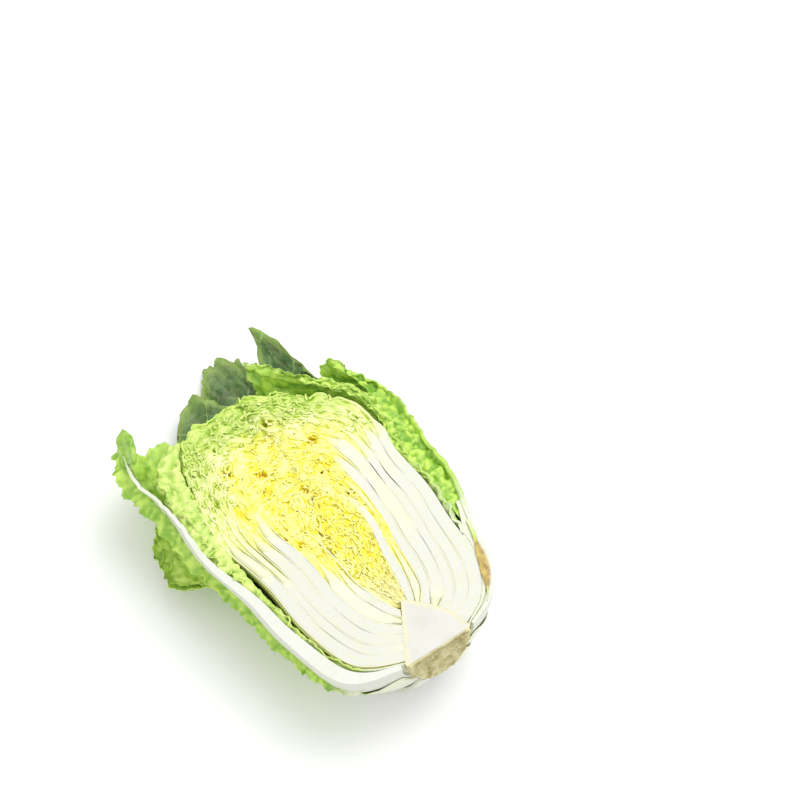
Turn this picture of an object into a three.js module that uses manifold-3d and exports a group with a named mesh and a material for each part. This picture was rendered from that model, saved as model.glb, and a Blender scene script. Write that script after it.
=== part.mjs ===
// Half of a napa cabbage, cut lengthwise through its stem and lying on its round back.
//
// Millimetres. +Y runs from the stem to the leaf tips and +Z is up. The cut face lies in the
// plane z = CUT_HEIGHT, the axis of the head is the line x = 0 in that plane, and the ribs
// underneath touch the surface z = 0.
//
// Every leaf is a curved shell with two faces. A point on it is given by its reach (0 at the
// leaf's foot on the stem, 1 at the top), by its turn round the head (0 at the left edge of
// the cut, half a turn at the right edge) and by how deep it lies between three nested
// surfaces: the heart, the closed head, and the open outer leaves.

import * as THREE from 'three';
import { mergeVertices } from 'three/addons/utils/BufferGeometryUtils.js';
import Module from 'manifold-3d';

const wasm = await Module();
wasm.setup();
const degrees = THREE.MathUtils.degToRad;

// ---------------------------------------------------------------- driving dimensions

const CUT_HEIGHT = 83;
const TURN_STEPS = 14;
const FULL_TURN = Math.PI;

// Outlines of the three nested surfaces as [radius, distance along the head], from the
// leaves' feet to their tips. Each has one outline per side: left, underneath and right.
const HEART_OUTLINE = [
  [3, 46], [5, 56], [7.5, 67], [10, 80], [12, 96],
  [14, 115], [14, 132], [11, 146], [6, 154], [0, 157],
];
const HEART = { left: HEART_OUTLINE, under: HEART_OUTLINE, right: HEART_OUTLINE };
const HEAD = {
  left: [
    [27, 3], [50, 13], [64, 26], [72, 52], [76, 96],
    [80, 140], [83, 180], [76, 225], [50, 256], [0, 263],
  ],
  under: [
    [27, 3], [45, 15], [58, 33], [65, 62], [66, 100],
    [67, 145], [67, 185], [59, 225], [36, 250], [0, 263],
  ],
  right: [
    [27, 3], [48, 15], [61, 33], [69, 60], [71, 100],
    [72, 148], [76, 180], [68, 212], [42, 242], [0, 263],
  ],
};
const OPEN = {
  left: [
    [36, 1], [51, 12], [65, 27], [73, 54], [80, 94],
    [87, 136], [92, 178], [94, 222], [87, 252], [76, 279],
  ],
  under: [
    [36, 0], [46, 13], [60, 31], [67, 62], [68, 102],
    [69, 147], [69, 188], [63, 232], [53, 276], [42, 330],
  ],
  right: [
    [36, 2], [49, 16], [61, 34], [69.5, 61], [76, 98],
    [82, 140], [87, 176], [84, 214], [67, 254], [58, 330],
  ],
};

// The way in which the outer leaves are stacked, as [radial, along the head].
const STACKING = [
  [0.95, -0.3], [0.8, -0.6], [0.85, -0.52], [0.97, -0.25], [1, 0],
  [1, 0], [1, 0], [1, 0.1], [0.95, 0.3], [0.9, 0.4],
];

// The leaves of the closed head, cupped one inside the other.
const HEAD_LEAVES = 14;
const BLADE_THICKNESS = 0.9;
const LEAF_GAP = 0.55;
const RIPPLE_CLEARANCE = 1.0;
const RIB_THICKNESS_INNER = 3.0;
const RIB_THICKNESS_OUTER = 5.0;
const RIB_SPREAD_FOOT = degrees(42);
const RIB_SPREAD_TIP = degrees(12);
const RIB_STRETCH = 1.5;
const RIB_FADE = [0.4, 0.88];
const RIB_LEAN = degrees(24);
const RIPPLES_ALONG = 27;
const RIPPLES_AROUND = 5.2;
const RIPPLE_STEP = 2.4;
const RIPPLE_TWIST = 1.7;
const HEAD_REACHES = [0, 0.05, 0.11, 0.18, 0.27, 0.37, 0.47, 0.57, 0.66, 0.75, 0.84, 0.93, 1];

// The slow bends that run through all layers alike, so that the leaves meander together.
const BEND_HEIGHT = 1.8;
const BEND_LENGTH = 92;
const BEND_FROM = [45, 110];
const BEND_LEAN = [30, 24];
const CROSS_BENDS = 1.6;

// The stem inside the head, and its trimmed end.
const STEM_OUTLINE = [
  [0, 46.6], [2.2, 45.2], [10.4, 31], [18.2, 17], [25.8, 3.2],
  [30, -2], [27, -4], [14, -3], [0, -2],
];
const STEM_END_SLANT = 0.16;
const STEM_END_ROUGHNESS = 0.9;

// The small crumpled leaves at the very middle.
const HEART_LEAVES = 7;
const HEART_FILL = 0.84;
const HEART_LEAF_WIDTH = degrees(42);
const HEART_LEAF_ROWS = 8;
const HEART_LEAF_COLUMNS = 4;
const HEART_LEAF_FOOT = 0.06;
const HEART_STALK = [[0, 47.2], [2.1, 48.4], [3.6, 60], [5.0, 74], [5.0, 100], [3.2, 122], [0, 130]];

// The outer leaves from the innermost to the outermost. A leaf spans the turn steps from first
// to last. Its rib stands at the turn given in degrees and leans by some more towards the tip.
// tip is the reach of the tip, drop is how much lower the margins end, and open is how far the
// leaf has left the head for the open surface at its foot, its middle and its tip.
const OUTER_BLADE = 1.2;
const OUTER_GAP = 1.4;
const TIP_GAP = 4.5;
const TIP_GAP_FROM = [0.72, 1];
const BLISTER_HEIGHT = 0.9;
const BLISTERS_ALONG = 20;
const BLISTERS_AROUND = 9;
const BLADE_FROM = [0.3, 0.55];
const STEP_ANGLE = 180 / TURN_STEPS;
const OUTER_LEAVES = [
  { name: 'outer_leaf_left_frilled', first: 0, last: 6, rib: 38, lean: 0, ribThickness: 2.2, ribSpread: 22,
    tip: 0.93, drop: 0.14, roundness: 1.7, open: [0, 0.5, 0.28], frill: 1.6, tone: 0 },
  { name: 'outer_leaf_right_rimmed', first: 8, last: 14, rib: 160, lean: 0, ribThickness: 2.2, ribSpread: 20,
    tip: 1.0, drop: 0.2, roundness: 1.7, open: [0, 0.12, 0.3], frill: 1.6, tone: 1 },
  { name: 'outer_leaf_left_loose', first: 0, last: 7, rib: 0, lean: 0, ribThickness: 12.5, ribSpread: 21,
    tip: 0.98, drop: 0.13, roundness: 1.7, open: [0, 1, 1], frill: 2.2, tone: 1 },
  { name: 'outer_leaf_right_spread', first: 8, last: 14, rib: 172, lean: 0, ribThickness: 4.2, ribSpread: 24,
    tip: 0.89, drop: 0.1, roundness: 1.7, open: [0, 1, 1.05], frill: 2.6, tone: 1 },
  { name: 'outer_leaf_under_left', first: 2, last: 9, rib: 62, lean: 18, ribThickness: 3.6, ribSpread: 17,
    tip: 0.95, drop: 0.18, roundness: 1.7, open: [0, 1, 1], frill: 3.0, tone: 2, flare: 24 },
  { name: 'outer_leaf_under_right', first: 7, last: 12, rib: 121, lean: 19, ribThickness: 3.4, ribSpread: 17,
    tip: 0.985, drop: 0.3, roundness: 1, open: [0, 1, 1.04], frill: 3.0, tone: 2 },
  { name: 'outer_leaf_underneath', first: 5, last: 10, rib: 84, lean: 24, ribThickness: 5.4, ribSpread: 19,
    tip: 0.95, drop: 0.14, roundness: 1.7, open: [0, 1, 1], frill: 2.4, tone: 2 },
];
const OUTER_REACHES = [0, 0.04, 0.09, 0.15, 0.22, 0.3, 0.4, 0.5, 0.6, 0.69, 0.77, 0.84, 0.9, 0.95, 1];
const SHARED_REACH = 0.69;
const TIP_WAVE = 0.012;
const OPENS_FROM = [0.02, 0.3];
const TIP_OPENS_FROM = [0.6, 0.95];
const SIDE_FRILL_FROM = [0.1, 0.35];
const TIP_FRILL_FROM = [0.8, 1];

// The ribs of the outer leaves: thinner at the foot, full at OUTER_RIB_FULL, and fading out
// towards the tip.
const OUTER_RIB_FOOT = 0.3;
const OUTER_RIB_FULL = 0.26;
const OUTER_RIB_TIP = 0.08;
const OUTER_RIB_FADE = [0.22, 0.82];
const OUTER_RIB_WIDTH = [1.5, 0.6];

// The drooping lobe of the lower left leaf's margin.
const LOBE_REACH = 0.68;
const LOBE_SPREAD = 0.1;
const LOBE_DROOP = 0.55;

// Colours, as sRGB hex values.
const HEART_YELLOW = 0xf3e46a;
const INNER_LEAF = 0xf0eba0;
const OUTER_HEAD_LEAF = 0xc9dd7a;
const STEM_WHITE = 0xf2efdd;
const OUTER_GREENS = [0xa9cf58, 0x8cbf3f, 0x4f8a36];

// ---------------------------------------------------------------- small helpers

const mix = (a, b, t) => a + (b - a) * t;
const smoothstep = (low, high, x) => THREE.MathUtils.smoothstep(x, low, high);
const bell = (x, spread) => Math.exp(-((x / spread) ** 2));

function seededRandom(seed) {
  let state = seed >>> 0;
  return () => {
    state = (Math.imul(state, 1664525) + 1013904223) >>> 0;
    return state / 4294967296;
  };
}

// Smooth curve through evenly spaced points, one value at a time (uniform Catmull-Rom).
function along(outline, reach) {
  const last = outline.length - 1;
  const place = THREE.MathUtils.clamp(reach, 0, 1) * last;
  const index = Math.min(Math.floor(place), last - 1);
  const t = place - index;
  const at = (k, axis) => {
    if (k < 0) return 2 * outline[0][axis] - outline[1][axis];
    if (k > last) return 2 * outline[last][axis] - outline[last - 1][axis];
    return outline[k][axis];
  };
  return [0, 1].map((axis) => {
    const [a, b, c, d] = [-1, 0, 1, 2].map((step) => at(index + step, axis));
    return b + 0.5 * t * (c - a + t * (2 * a - 5 * b + 4 * c - d + t * (3 * (b - c) + d - a)));
  });
}

// ---------------------------------------------------------------- the nested surfaces

// Point of one of the three surfaces, before the slow bends.
function surfacePoint(sides, reach, turn) {
  const cos = Math.cos(turn);
  const sin = Math.sin(turn);
  const side = along(cos > 0 ? sides.left : sides.right, reach);
  const under = along(sides.under, reach);
  const radius = mix(side[0], under[0], sin * sin);
  const y = mix(side[1], under[1], sin * sin);
  return new THREE.Vector3(-radius * cos, y, CUT_HEIGHT - radius * sin);
}

// Unit direction in which the outer leaves are stacked.
function outward(reach, turn) {
  const [radial, axial] = along(STACKING, reach);
  return new THREE.Vector3(-radial * Math.cos(turn), axial, -radial * Math.sin(turn)).normalize();
}

// The slow bends: a push in x that depends on y and depth, then one in y that depends on x
// and depth.
function bend(point) {
  const height = BEND_HEIGHT * smoothstep(...BEND_FROM, point.y);
  const wave = (2 * Math.PI) / BEND_LENGTH;
  const depth = CUT_HEIGHT - point.z;
  const x = point.x + height * Math.sin(wave * point.y - depth / BEND_LEAN[0]);
  const y = point.y + height * Math.sin(CROSS_BENDS * wave * x + depth / BEND_LEAN[1]);
  return new THREE.Vector3(x, y, point.z);
}

// ---------------------------------------------------------------- leaves of the head

const headLeafAngles = [];
{
  const random = seededRandom(7);
  for (let k = 0; k < HEAD_LEAVES; k++) {
    const lean = RIB_LEAN * random();
    headLeafAngles.push(k % 2 === 0 ? lean : FULL_TURN - lean);
  }
}

function ribThickness(leaf, reach, turn) {
  const spread = mix(RIB_SPREAD_FOOT, RIB_SPREAD_TIP, Math.sqrt(reach));
  const full = mix(RIB_THICKNESS_INNER, RIB_THICKNESS_OUTER, leaf / (HEAD_LEAVES - 1));
  return full * (1 - smoothstep(...RIB_FADE, reach)) * bell(turn - headLeafAngles[leaf], spread);
}

// Where the two faces of a head leaf lie on the straight line from the heart to the head's
// surface, as shares of that line: all leaves share it out by their thickness, the ribs
// swell to fill it, and what is left goes into the gaps.
function headLeafShares(leaf, reach, turn) {
  const inner = surfacePoint(HEART, reach, turn);
  const outer = surfacePoint(HEAD, reach, turn);
  const room = inner.distanceTo(outer);
  const ribs = [];
  for (let k = 0; k < HEAD_LEAVES; k++) ribs.push(ribThickness(k, reach, turn));
  const ribTotal = ribs.reduce((sum, rib) => sum + rib, 0);
  const spare = room - HEAD_LEAVES * (BLADE_THICKNESS + LEAF_GAP);
  const swell = THREE.MathUtils.clamp(spare / Math.max(ribTotal, 1e-6), 0, RIB_STRETCH);
  const gap = LEAF_GAP + Math.max(0, spare - swell * ribTotal) / HEAD_LEAVES;
  let depth = gap / 2;
  for (let k = 0; k < leaf; k++) depth += BLADE_THICKNESS + swell * ribs[k] + gap;
  const thickness = BLADE_THICKNESS + swell * ribs[leaf];
  const phase = RIPPLE_STEP * leaf;
  const across = Math.cos(RIPPLES_AROUND * turn + RIPPLE_TWIST * phase);
  const lift = Math.max(0, gap - RIPPLE_CLEARANCE) / 2;
  const ripple = lift * Math.sin(RIPPLES_ALONG * reach + phase) * across;
  return { inner, outer, low: (depth + ripple) / room, high: (depth + ripple + thickness) / room };
}

function headLeafPoint(leaf, reach, turn, face) {
  const { inner, outer, low, high } = headLeafShares(leaf, reach, turn);
  return bend(inner.clone().lerp(outer, face === 0 ? low : high));
}

// ---------------------------------------------------------------- outer leaves

// How far a leaf of the outer set has left the head for the open surface.
function openness(leaf, reach) {
  const [foot, middle, tip] = leaf.open;
  return mix(mix(foot, middle, smoothstep(...OPENS_FROM, reach)), tip, smoothstep(...TIP_OPENS_FROM, reach));
}

function outerThickness(leaf, reach, turn) {
  const atFoot = mix(OUTER_RIB_FOOT, 1, smoothstep(0, OUTER_RIB_FULL, reach));
  const toTip = mix(1, OUTER_RIB_TIP, smoothstep(...OUTER_RIB_FADE, reach));
  const rib = degrees(leaf.rib + leaf.lean * reach);
  const across = bell(turn - rib, degrees(leaf.ribSpread) * mix(...OUTER_RIB_WIDTH, reach));
  return OUTER_BLADE + leaf.ribThickness * atFoot * toTip * across;
}

// The blisters of the green blades, which all outer leaves share so that they keep apart.
function blister(reach, turn) {
  const height = BLISTER_HEIGHT * smoothstep(...BLADE_FROM, reach);
  const lengthwise = Math.sin(BLISTERS_ALONG * reach + 3 * Math.cos(2 * turn));
  return height * (1 + lengthwise * Math.cos(BLISTERS_AROUND * turn));
}

// 1 where a leaf covers the given turn, fading to 0 within one step beyond its margins.
function coverage(leaf, turn) {
  const steps = turn / degrees(STEP_ANGLE);
  const before = leaf.first === 0 ? 1 : smoothstep(leaf.first - 1, leaf.first, steps);
  const after = leaf.last === TURN_STEPS ? 1 : 1 - smoothstep(leaf.last, leaf.last + 1, steps);
  return before * after;
}

// A leaf of the outer set lies on the surface between head and open outline, and outside
// all leaves that come before it in the list.
function outerLeafPoint(index, reach, turn, face, lift = 0) {
  const leaf = OUTER_LEAVES[index];
  const gap = OUTER_GAP + TIP_GAP * smoothstep(...TIP_GAP_FROM, reach);
  let depth = gap + blister(reach, turn);
  let open = openness(leaf, reach);
  for (let k = 0; k < index; k++) {
    const other = OUTER_LEAVES[k];
    depth += coverage(other, turn) * (outerThickness(other, reach, turn) + gap);
    open = Math.max(open, coverage(other, turn) * openness(other, reach));
  }
  if (face === 1) depth += outerThickness(leaf, reach, turn);
  const head = surfacePoint(HEAD, reach, turn);
  const opened = surfacePoint(OPEN, reach, turn);
  return bend(head.lerp(opened, open).addScaledVector(outward(reach, turn), depth + lift));
}

// ---------------------------------------------------------------- closed leaf solids

// Closed solid between two faces sampled on the same grid, rows from foot to tip. With a
// closed tip the last row is a single point. Both faces are split into triangles alike.
function leafGeometry(samplePoint, rows, columns, closedTip) {
  const positions = [];
  const lookup = [[], []];
  for (const face of [0, 1]) {
    for (let i = 0; i < rows; i++) {
      lookup[face].push([]);
      for (let j = 0; j < columns; j++) {
        const collapsed = closedTip && i === rows - 1 && j > 0;
        if (collapsed) {
          lookup[face][i].push(lookup[face][i][0]);
          continue;
        }
        lookup[face][i].push(positions.length / 3);
        positions.push(...samplePoint(i, j, face).toArray());
      }
    }
  }
  const triangles = [];
  const quad = (a, b, c, d) => {
    for (const corner of [[a, b, c], [a, c, d]]) {
      if (new Set(corner).size === 3) triangles.push(corner);
    }
  };
  for (let i = 0; i < rows - 1; i++) {
    for (let j = 0; j < columns - 1; j++) {
      const [low, high] = lookup;
      quad(high[i][j], high[i][j + 1], high[i + 1][j + 1], high[i + 1][j]);
      quad(low[i][j], low[i + 1][j], low[i + 1][j + 1], low[i][j + 1]);
    }
  }
  const loop = [];
  for (let j = 0; j < columns - 1; j++) loop.push([0, j]);
  for (let i = 0; i < rows - 1; i++) loop.push([i, columns - 1]);
  for (let j = columns - 1; j > 0; j--) loop.push([rows - 1, j]);
  for (let i = rows - 1; i > 0; i--) loop.push([i, 0]);
  loop.forEach(([i, j], k) => {
    const [m, n] = loop[(k + 1) % loop.length];
    quad(lookup[0][i][j], lookup[0][m][n], lookup[1][m][n], lookup[1][i][j]);
  });
  return closedSurface(positions, triangles);
}

// Indexed geometry whose faces point out of the solid.
function closedSurface(positions, triangles) {
  const corner = (index) => new THREE.Vector3().fromArray(positions, 3 * index);
  let volume = 0;
  for (const [a, b, c] of triangles) volume += corner(a).dot(corner(b).cross(corner(c)));
  const facing = volume > 0 ? triangles : triangles.map(([a, b, c]) => [a, c, b]);
  const geometry = new THREE.BufferGeometry();
  geometry.setAttribute('position', new THREE.Float32BufferAttribute(positions, 3));
  geometry.setIndex(facing.flat());
  return geometry;
}

function toSolid(geometry) {
  const bare = geometry.clone();
  bare.deleteAttribute('normal');
  bare.deleteAttribute('uv');
  const merged = mergeVertices(bare, 1e-4);
  return new wasm.Manifold(new wasm.Mesh({
    numProp: 3,
    vertProperties: new Float32Array(merged.attributes.position.array),
    triVerts: new Uint32Array(merged.index.array),
  }));
}

function fromSolid(solid) {
  const mesh = solid.getMesh();
  const geometry = new THREE.BufferGeometry();
  geometry.setAttribute('position', new THREE.Float32BufferAttribute(mesh.vertProperties, 3));
  geometry.setIndex([...mesh.triVerts]);
  return geometry;
}

// Solid turned from an outline through half a turn below the cut face, and closed by the
// cut face itself. The outline starts and ends on the axis.
function halfTurned(outline, columns, shift = () => 0) {
  const positions = [];
  const lookup = outline.map(([radius, y], i) => {
    const row = [];
    for (let j = 0; j < columns; j++) {
      if (radius === 0 && j > 0) {
        row.push(row[0]);
        continue;
      }
      const turn = (FULL_TURN * j) / (columns - 1);
      const depth = radius * Math.sin(turn);
      row.push(positions.length / 3);
      positions.push(-radius * Math.cos(turn), y + shift(i, j, depth), CUT_HEIGHT - depth);
    }
    return row;
  });
  const triangles = [];
  const add = (a, b, c) => {
    if (new Set([a, b, c]).size === 3) triangles.push([a, b, c]);
  };
  for (let i = 0; i < outline.length - 1; i++) {
    for (let j = 0; j < columns - 1; j++) {
      add(lookup[i][j], lookup[i][j + 1], lookup[i + 1][j + 1]);
      add(lookup[i][j], lookup[i + 1][j + 1], lookup[i + 1][j]);
    }
    add(lookup[i][0], lookup[i + 1][0], lookup[i + 1][columns - 1]);
    add(lookup[i][0], lookup[i + 1][columns - 1], lookup[i][columns - 1]);
  }
  return closedSurface(positions, triangles);
}

// ---------------------------------------------------------------- the pieces

function leafMaterial(color) {
  return new THREE.MeshStandardMaterial({ color, roughness: 0.5, metalness: 0 });
}

// The stem: a pointed cone inside the head with a rough, slightly slanting trimmed end.
function stem() {
  const random = seededRandom(11);
  const endRows = STEM_OUTLINE.findIndex(([, y]) => y < 0);
  const shift = (row, column, depth) => {
    if (row < endRows) return 0;
    return -STEM_END_SLANT * depth + STEM_END_ROUGHNESS * (random() - 0.5);
  };
  return new THREE.Mesh(halfTurned(STEM_OUTLINE, 13, shift), leafMaterial(STEM_WHITE));
}

// The heart: small waved leaves round a short stalk, joined to it at their feet.
function heart() {
  const random = seededRandom(23);
  let solid = toSolid(halfTurned(HEART_STALK, 9));
  for (let k = 0; k < HEART_LEAVES; k++) {
    const middle = (FULL_TURN * (k + 0.5)) / HEART_LEAVES;
    const level = mix(0.62, HEART_FILL, (k % 3) / 2);
    const tip = mix(0.8, 0.95, random());
    const phase = 6 * random();
    const samplePoint = (i, j, face) => {
      const reach = mix(HEART_LEAF_FOOT, tip, i / (HEART_LEAF_ROWS - 1));
      const across = j / (HEART_LEAF_COLUMNS - 1) - 0.5;
      const turn = THREE.MathUtils.clamp(middle + HEART_LEAF_WIDTH * across, 0, FULL_TURN);
      const [radius, y] = along(HEART_OUTLINE, reach);
      const rooted = mix(0.3, level, smoothstep(HEART_LEAF_FOOT, 0.22, reach));
      const wave = 0.06 * radius * Math.sin(34 * reach + 2.1 * j + phase);
      const r = radius * rooted + wave - (face === 0 ? BLADE_THICKNESS : 0);
      const lowered = y - 0.25 * (1 - level) * (y - HEART_OUTLINE[0][1]);
      return new THREE.Vector3(-r * Math.cos(turn), lowered, CUT_HEIGHT - r * Math.sin(turn));
    };
    const leaf = leafGeometry(samplePoint, HEART_LEAF_ROWS, HEART_LEAF_COLUMNS, false);
    solid = solid.add(toSolid(leaf));
  }
  return new THREE.Mesh(fromSolid(solid), leafMaterial(HEART_YELLOW));
}

function headLeaf(leaf) {
  const rows = HEAD_REACHES.length;
  const columns = TURN_STEPS + 1;
  const samplePoint = (i, j, face) =>
    headLeafPoint(leaf, HEAD_REACHES[i], (FULL_TURN * j) / TURN_STEPS, face);
  const tone = new THREE.Color(INNER_LEAF).lerp(new THREE.Color(OUTER_HEAD_LEAF), leaf / (HEAD_LEAVES - 1));
  return new THREE.Mesh(leafGeometry(samplePoint, rows, columns, true), leafMaterial(tone));
}

// An outer leaf with a rounded, waved outline and frilled margins.
function outerLeaf(index) {
  const leaf = OUTER_LEAVES[index];
  const rows = OUTER_REACHES.length;
  const columns = leaf.last - leaf.first + 1;
  const ribStep = (leaf.rib + leaf.lean) / STEP_ANGLE;
  const farthest = Math.max(ribStep - leaf.first, leaf.last - ribStep);
  const samplePoint = (i, j, face) => {
    const step = leaf.first + j;
    const turn = (FULL_TURN * step) / TURN_STEPS;
    const sideways = Math.abs(step - ribStep) / farthest;
    const end = leaf.tip - leaf.drop * sideways ** leaf.roundness + TIP_WAVE * Math.cos(Math.PI * j);
    const grown = OUTER_REACHES[i];
    const reach = grown <= SHARED_REACH
      ? grown
      : mix(SHARED_REACH, end, (grown - SHARED_REACH) / (1 - SHARED_REACH));
    const freeLeft = j === 0 && leaf.first > 0;
    const freeRight = j === columns - 1 && leaf.last < TURN_STEPS;
    const edge = smoothstep(...(freeLeft || freeRight ? SIDE_FRILL_FROM : TIP_FRILL_FROM), reach);
    const later = OUTER_LEAVES.slice(index + 1);
    const free = later.every((other) => coverage(other, turn) === 0);
    const room = free ? leaf.frill : Math.min(leaf.frill, TIP_GAP * smoothstep(...TIP_GAP_FROM, reach));
    const frill = room * edge * (1 + Math.cos(Math.PI * i + 2 * j)) * 0.5;
    const point = outerLeafPoint(index, reach, turn, face, frill);
    if (freeLeft && leaf.flare) {
      const lobe = leaf.flare * bell(reach - LOBE_REACH, LOBE_SPREAD);
      point.x -= lobe;
      point.z -= LOBE_DROOP * lobe;
    }
    return point;
  };
  return leafGeometry(samplePoint, rows, columns, false);
}

// The outermost leaf underneath, flattened where it lies on the surface.
function flattened(geometry) {
  const size = 800;
  const below = new THREE.BoxGeometry(size, size, size).translate(0, 0, -size / 2);
  return fromSolid(toSolid(geometry).subtract(toSolid(below)));
}

// ---------------------------------------------------------------- the half head

const cabbage = new THREE.Group();

function addPiece(name, mesh) {
  mesh.name = name;
  cabbage.add(mesh);
}

addPiece('stem', stem());
addPiece('heart', heart());
for (let k = 0; k < HEAD_LEAVES; k++) {
  addPiece(`head_leaf_${String(k + 1).padStart(2, '0')}`, headLeaf(k));
}
OUTER_LEAVES.forEach((leaf, index) => {
  const grown = outerLeaf(index);
  const geometry = index === OUTER_LEAVES.length - 1 ? flattened(grown) : grown;
  addPiece(leaf.name, new THREE.Mesh(geometry, leafMaterial(OUTER_GREENS[leaf.tone])));
});

// The origin is on the surface, under the middle of the half head.
const middle = new THREE.Box3().setFromObject(cabbage).getCenter(new THREE.Vector3());
cabbage.position.set(-middle.x, -middle.y, 0);

export default cabbage;
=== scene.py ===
"""Half napa cabbage: the looks of the leaves, the stem and the heart, and a plain stage.

Sizes are millimetres until a mesh is written. +Y runs from the stem to the leaf tips, +Z is
up and out of the cut face. A point of a leaf is given by its reach (0 at the foot, 1 at the
top), its turn round the head (0 at the left edge of the cut, half a turn at the right edge)
and its depth between three nested surfaces: the heart, the closed head and the open leaves.
"""

import itertools
import math

import bpy
import numpy as np
from mathutils import Euler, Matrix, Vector


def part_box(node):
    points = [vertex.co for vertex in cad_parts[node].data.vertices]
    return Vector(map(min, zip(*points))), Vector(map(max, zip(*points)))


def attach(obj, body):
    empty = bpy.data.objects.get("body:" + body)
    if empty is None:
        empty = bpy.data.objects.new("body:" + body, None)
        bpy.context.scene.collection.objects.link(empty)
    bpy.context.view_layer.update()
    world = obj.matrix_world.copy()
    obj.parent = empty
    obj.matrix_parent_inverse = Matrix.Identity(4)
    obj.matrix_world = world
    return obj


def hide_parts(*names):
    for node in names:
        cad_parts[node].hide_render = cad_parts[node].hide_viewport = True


bl_info = {
    "name": "Half Napa Cabbage",
    "version": (1, 0, 0),
    "blender": (4, 5, 0),
    "location": "View3D > Sidebar > Cabbage",
    "description": "Builds the leaves, stem and heart of a cut napa cabbage",
    "category": "Add Mesh",
}

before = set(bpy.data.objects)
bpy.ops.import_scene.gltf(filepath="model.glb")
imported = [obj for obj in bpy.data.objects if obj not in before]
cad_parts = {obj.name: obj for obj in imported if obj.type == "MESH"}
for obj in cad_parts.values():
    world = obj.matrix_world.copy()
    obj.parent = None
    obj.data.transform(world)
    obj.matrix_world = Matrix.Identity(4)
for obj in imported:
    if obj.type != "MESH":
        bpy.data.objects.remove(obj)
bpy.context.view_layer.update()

# ---------------- driving dimensions

MILLIMETRE = 0.001
SMALLEST = 1e-9
HALF_TURN = math.pi
STEM_TOP = 46.6

stem_low, stem_high = (np.array(corner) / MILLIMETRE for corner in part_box("stem"))
CUT_HEIGHT = float(stem_high[2])
ORIGIN_X = float(stem_low[0] + stem_high[0]) / 2
ORIGIN_Y = float(stem_high[1]) - STEM_TOP

# Outlines of the nested surfaces as [radius, distance along the head].
HEART_OUTLINE = [
    [3, 46], [5, 56], [7.5, 67], [10, 80], [12, 96],
    [14, 115], [14, 132], [11, 146], [6, 154], [0, 157],
]
AXIS_OUTLINE = [
    [0.3, 46], [0.3, 54], [0.4, 62], [0.5, 70], [0.5, 78],
    [0.5, 86], [0.5, 94], [0.5, 102], [0.4, 110], [0, 116],
]
HEAD_LEFT = [
    [27, 3], [50, 13], [64, 26], [72, 52], [76, 96],
    [80, 140], [83, 180], [76, 225], [50, 256], [0, 263],
]
HEAD_UNDER = [
    [27, 3], [45, 15], [58, 33], [65, 62], [66, 100],
    [67, 145], [67, 185], [59, 225], [36, 250], [0, 263],
]
HEAD_RIGHT = [
    [27, 3], [48, 15], [61, 33], [69, 60], [71, 100],
    [72, 148], [76, 180], [68, 212], [42, 242], [0, 263],
]
OPEN_LEFT = [
    [36, 1], [51, 12], [65, 27], [73, 54], [80, 94],
    [87, 136], [92, 178], [94, 222], [87, 252], [76, 279],
]
OPEN_UNDER = [
    [36, 0], [46, 13], [60, 31], [67, 62], [68, 102],
    [69, 147], [69, 188], [63, 232], [53, 276], [42, 330],
]
OPEN_RIGHT = [
    [36, 2], [49, 16], [61, 34], [69.5, 61], [76, 98],
    [82, 140], [87, 176], [84, 214], [67, 254], [58, 330],
]
AXIS = (AXIS_OUTLINE,) * 3
HEART = (HEART_OUTLINE,) * 3
HEAD = (HEAD_LEFT, HEAD_UNDER, HEAD_RIGHT)
OPEN = (OPEN_LEFT, OPEN_UNDER, OPEN_RIGHT)
STACKING = [
    [0.95, -0.3], [0.8, -0.6], [0.85, -0.52], [0.97, -0.25], [1, 0],
    [1, 0], [1, 0], [1, 0.1], [0.95, 0.3], [0.9, 0.4],
]

HEAD_LEAVES = 14
BLADE_THICKNESS = 0.9
LEAF_GAP = 0.55
RIB_THICKNESS_INNER = 3.0
RIB_THICKNESS_OUTER = 5.0
RIB_SPREAD_FOOT = math.radians(42)
RIB_SPREAD_TIP = math.radians(12)
RIB_STRETCH = 1.5
RIB_FADE = (0.4, 0.88)
RIB_LEAN = math.radians(24)

BEND_HEIGHT = 1.8
BEND_LENGTH = 92
BEND_FROM = (45, 110)
BEND_LEAN = (30, 24)
CROSS_BENDS = 1.6

OUTER_BLADE = 1.2
OUTER_GAP = 1.4
TIP_GAP = 4.5
TIP_GAP_FROM = (0.72, 1)
BLISTER_HEIGHT = 0.9
BLISTERS_ALONG = 20
BLISTERS_AROUND = 9
BLADE_FROM = (0.3, 0.55)
TURN_STEPS = 14
STEP_ANGLE = 180 / TURN_STEPS
SHARED_REACH = 0.69
OPENS_FROM = (0.02, 0.3)
TIP_OPENS_FROM = (0.6, 0.95)
OUTER_RIB_FOOT = 0.3
OUTER_RIB_FULL = 0.26
OUTER_RIB_TIP = 0.08
OUTER_RIB_FADE = (0.22, 0.82)
OUTER_RIB_WIDTH = (1.5, 0.6)
LOBE_REACH = 0.72
LOBE_SPREAD = 0.1
LOBE_DROOP = 0.7
LEAF_LENGTH = 300
LEAF_RADIUS = 75
VEIN_RADIUS = 70.0

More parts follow.
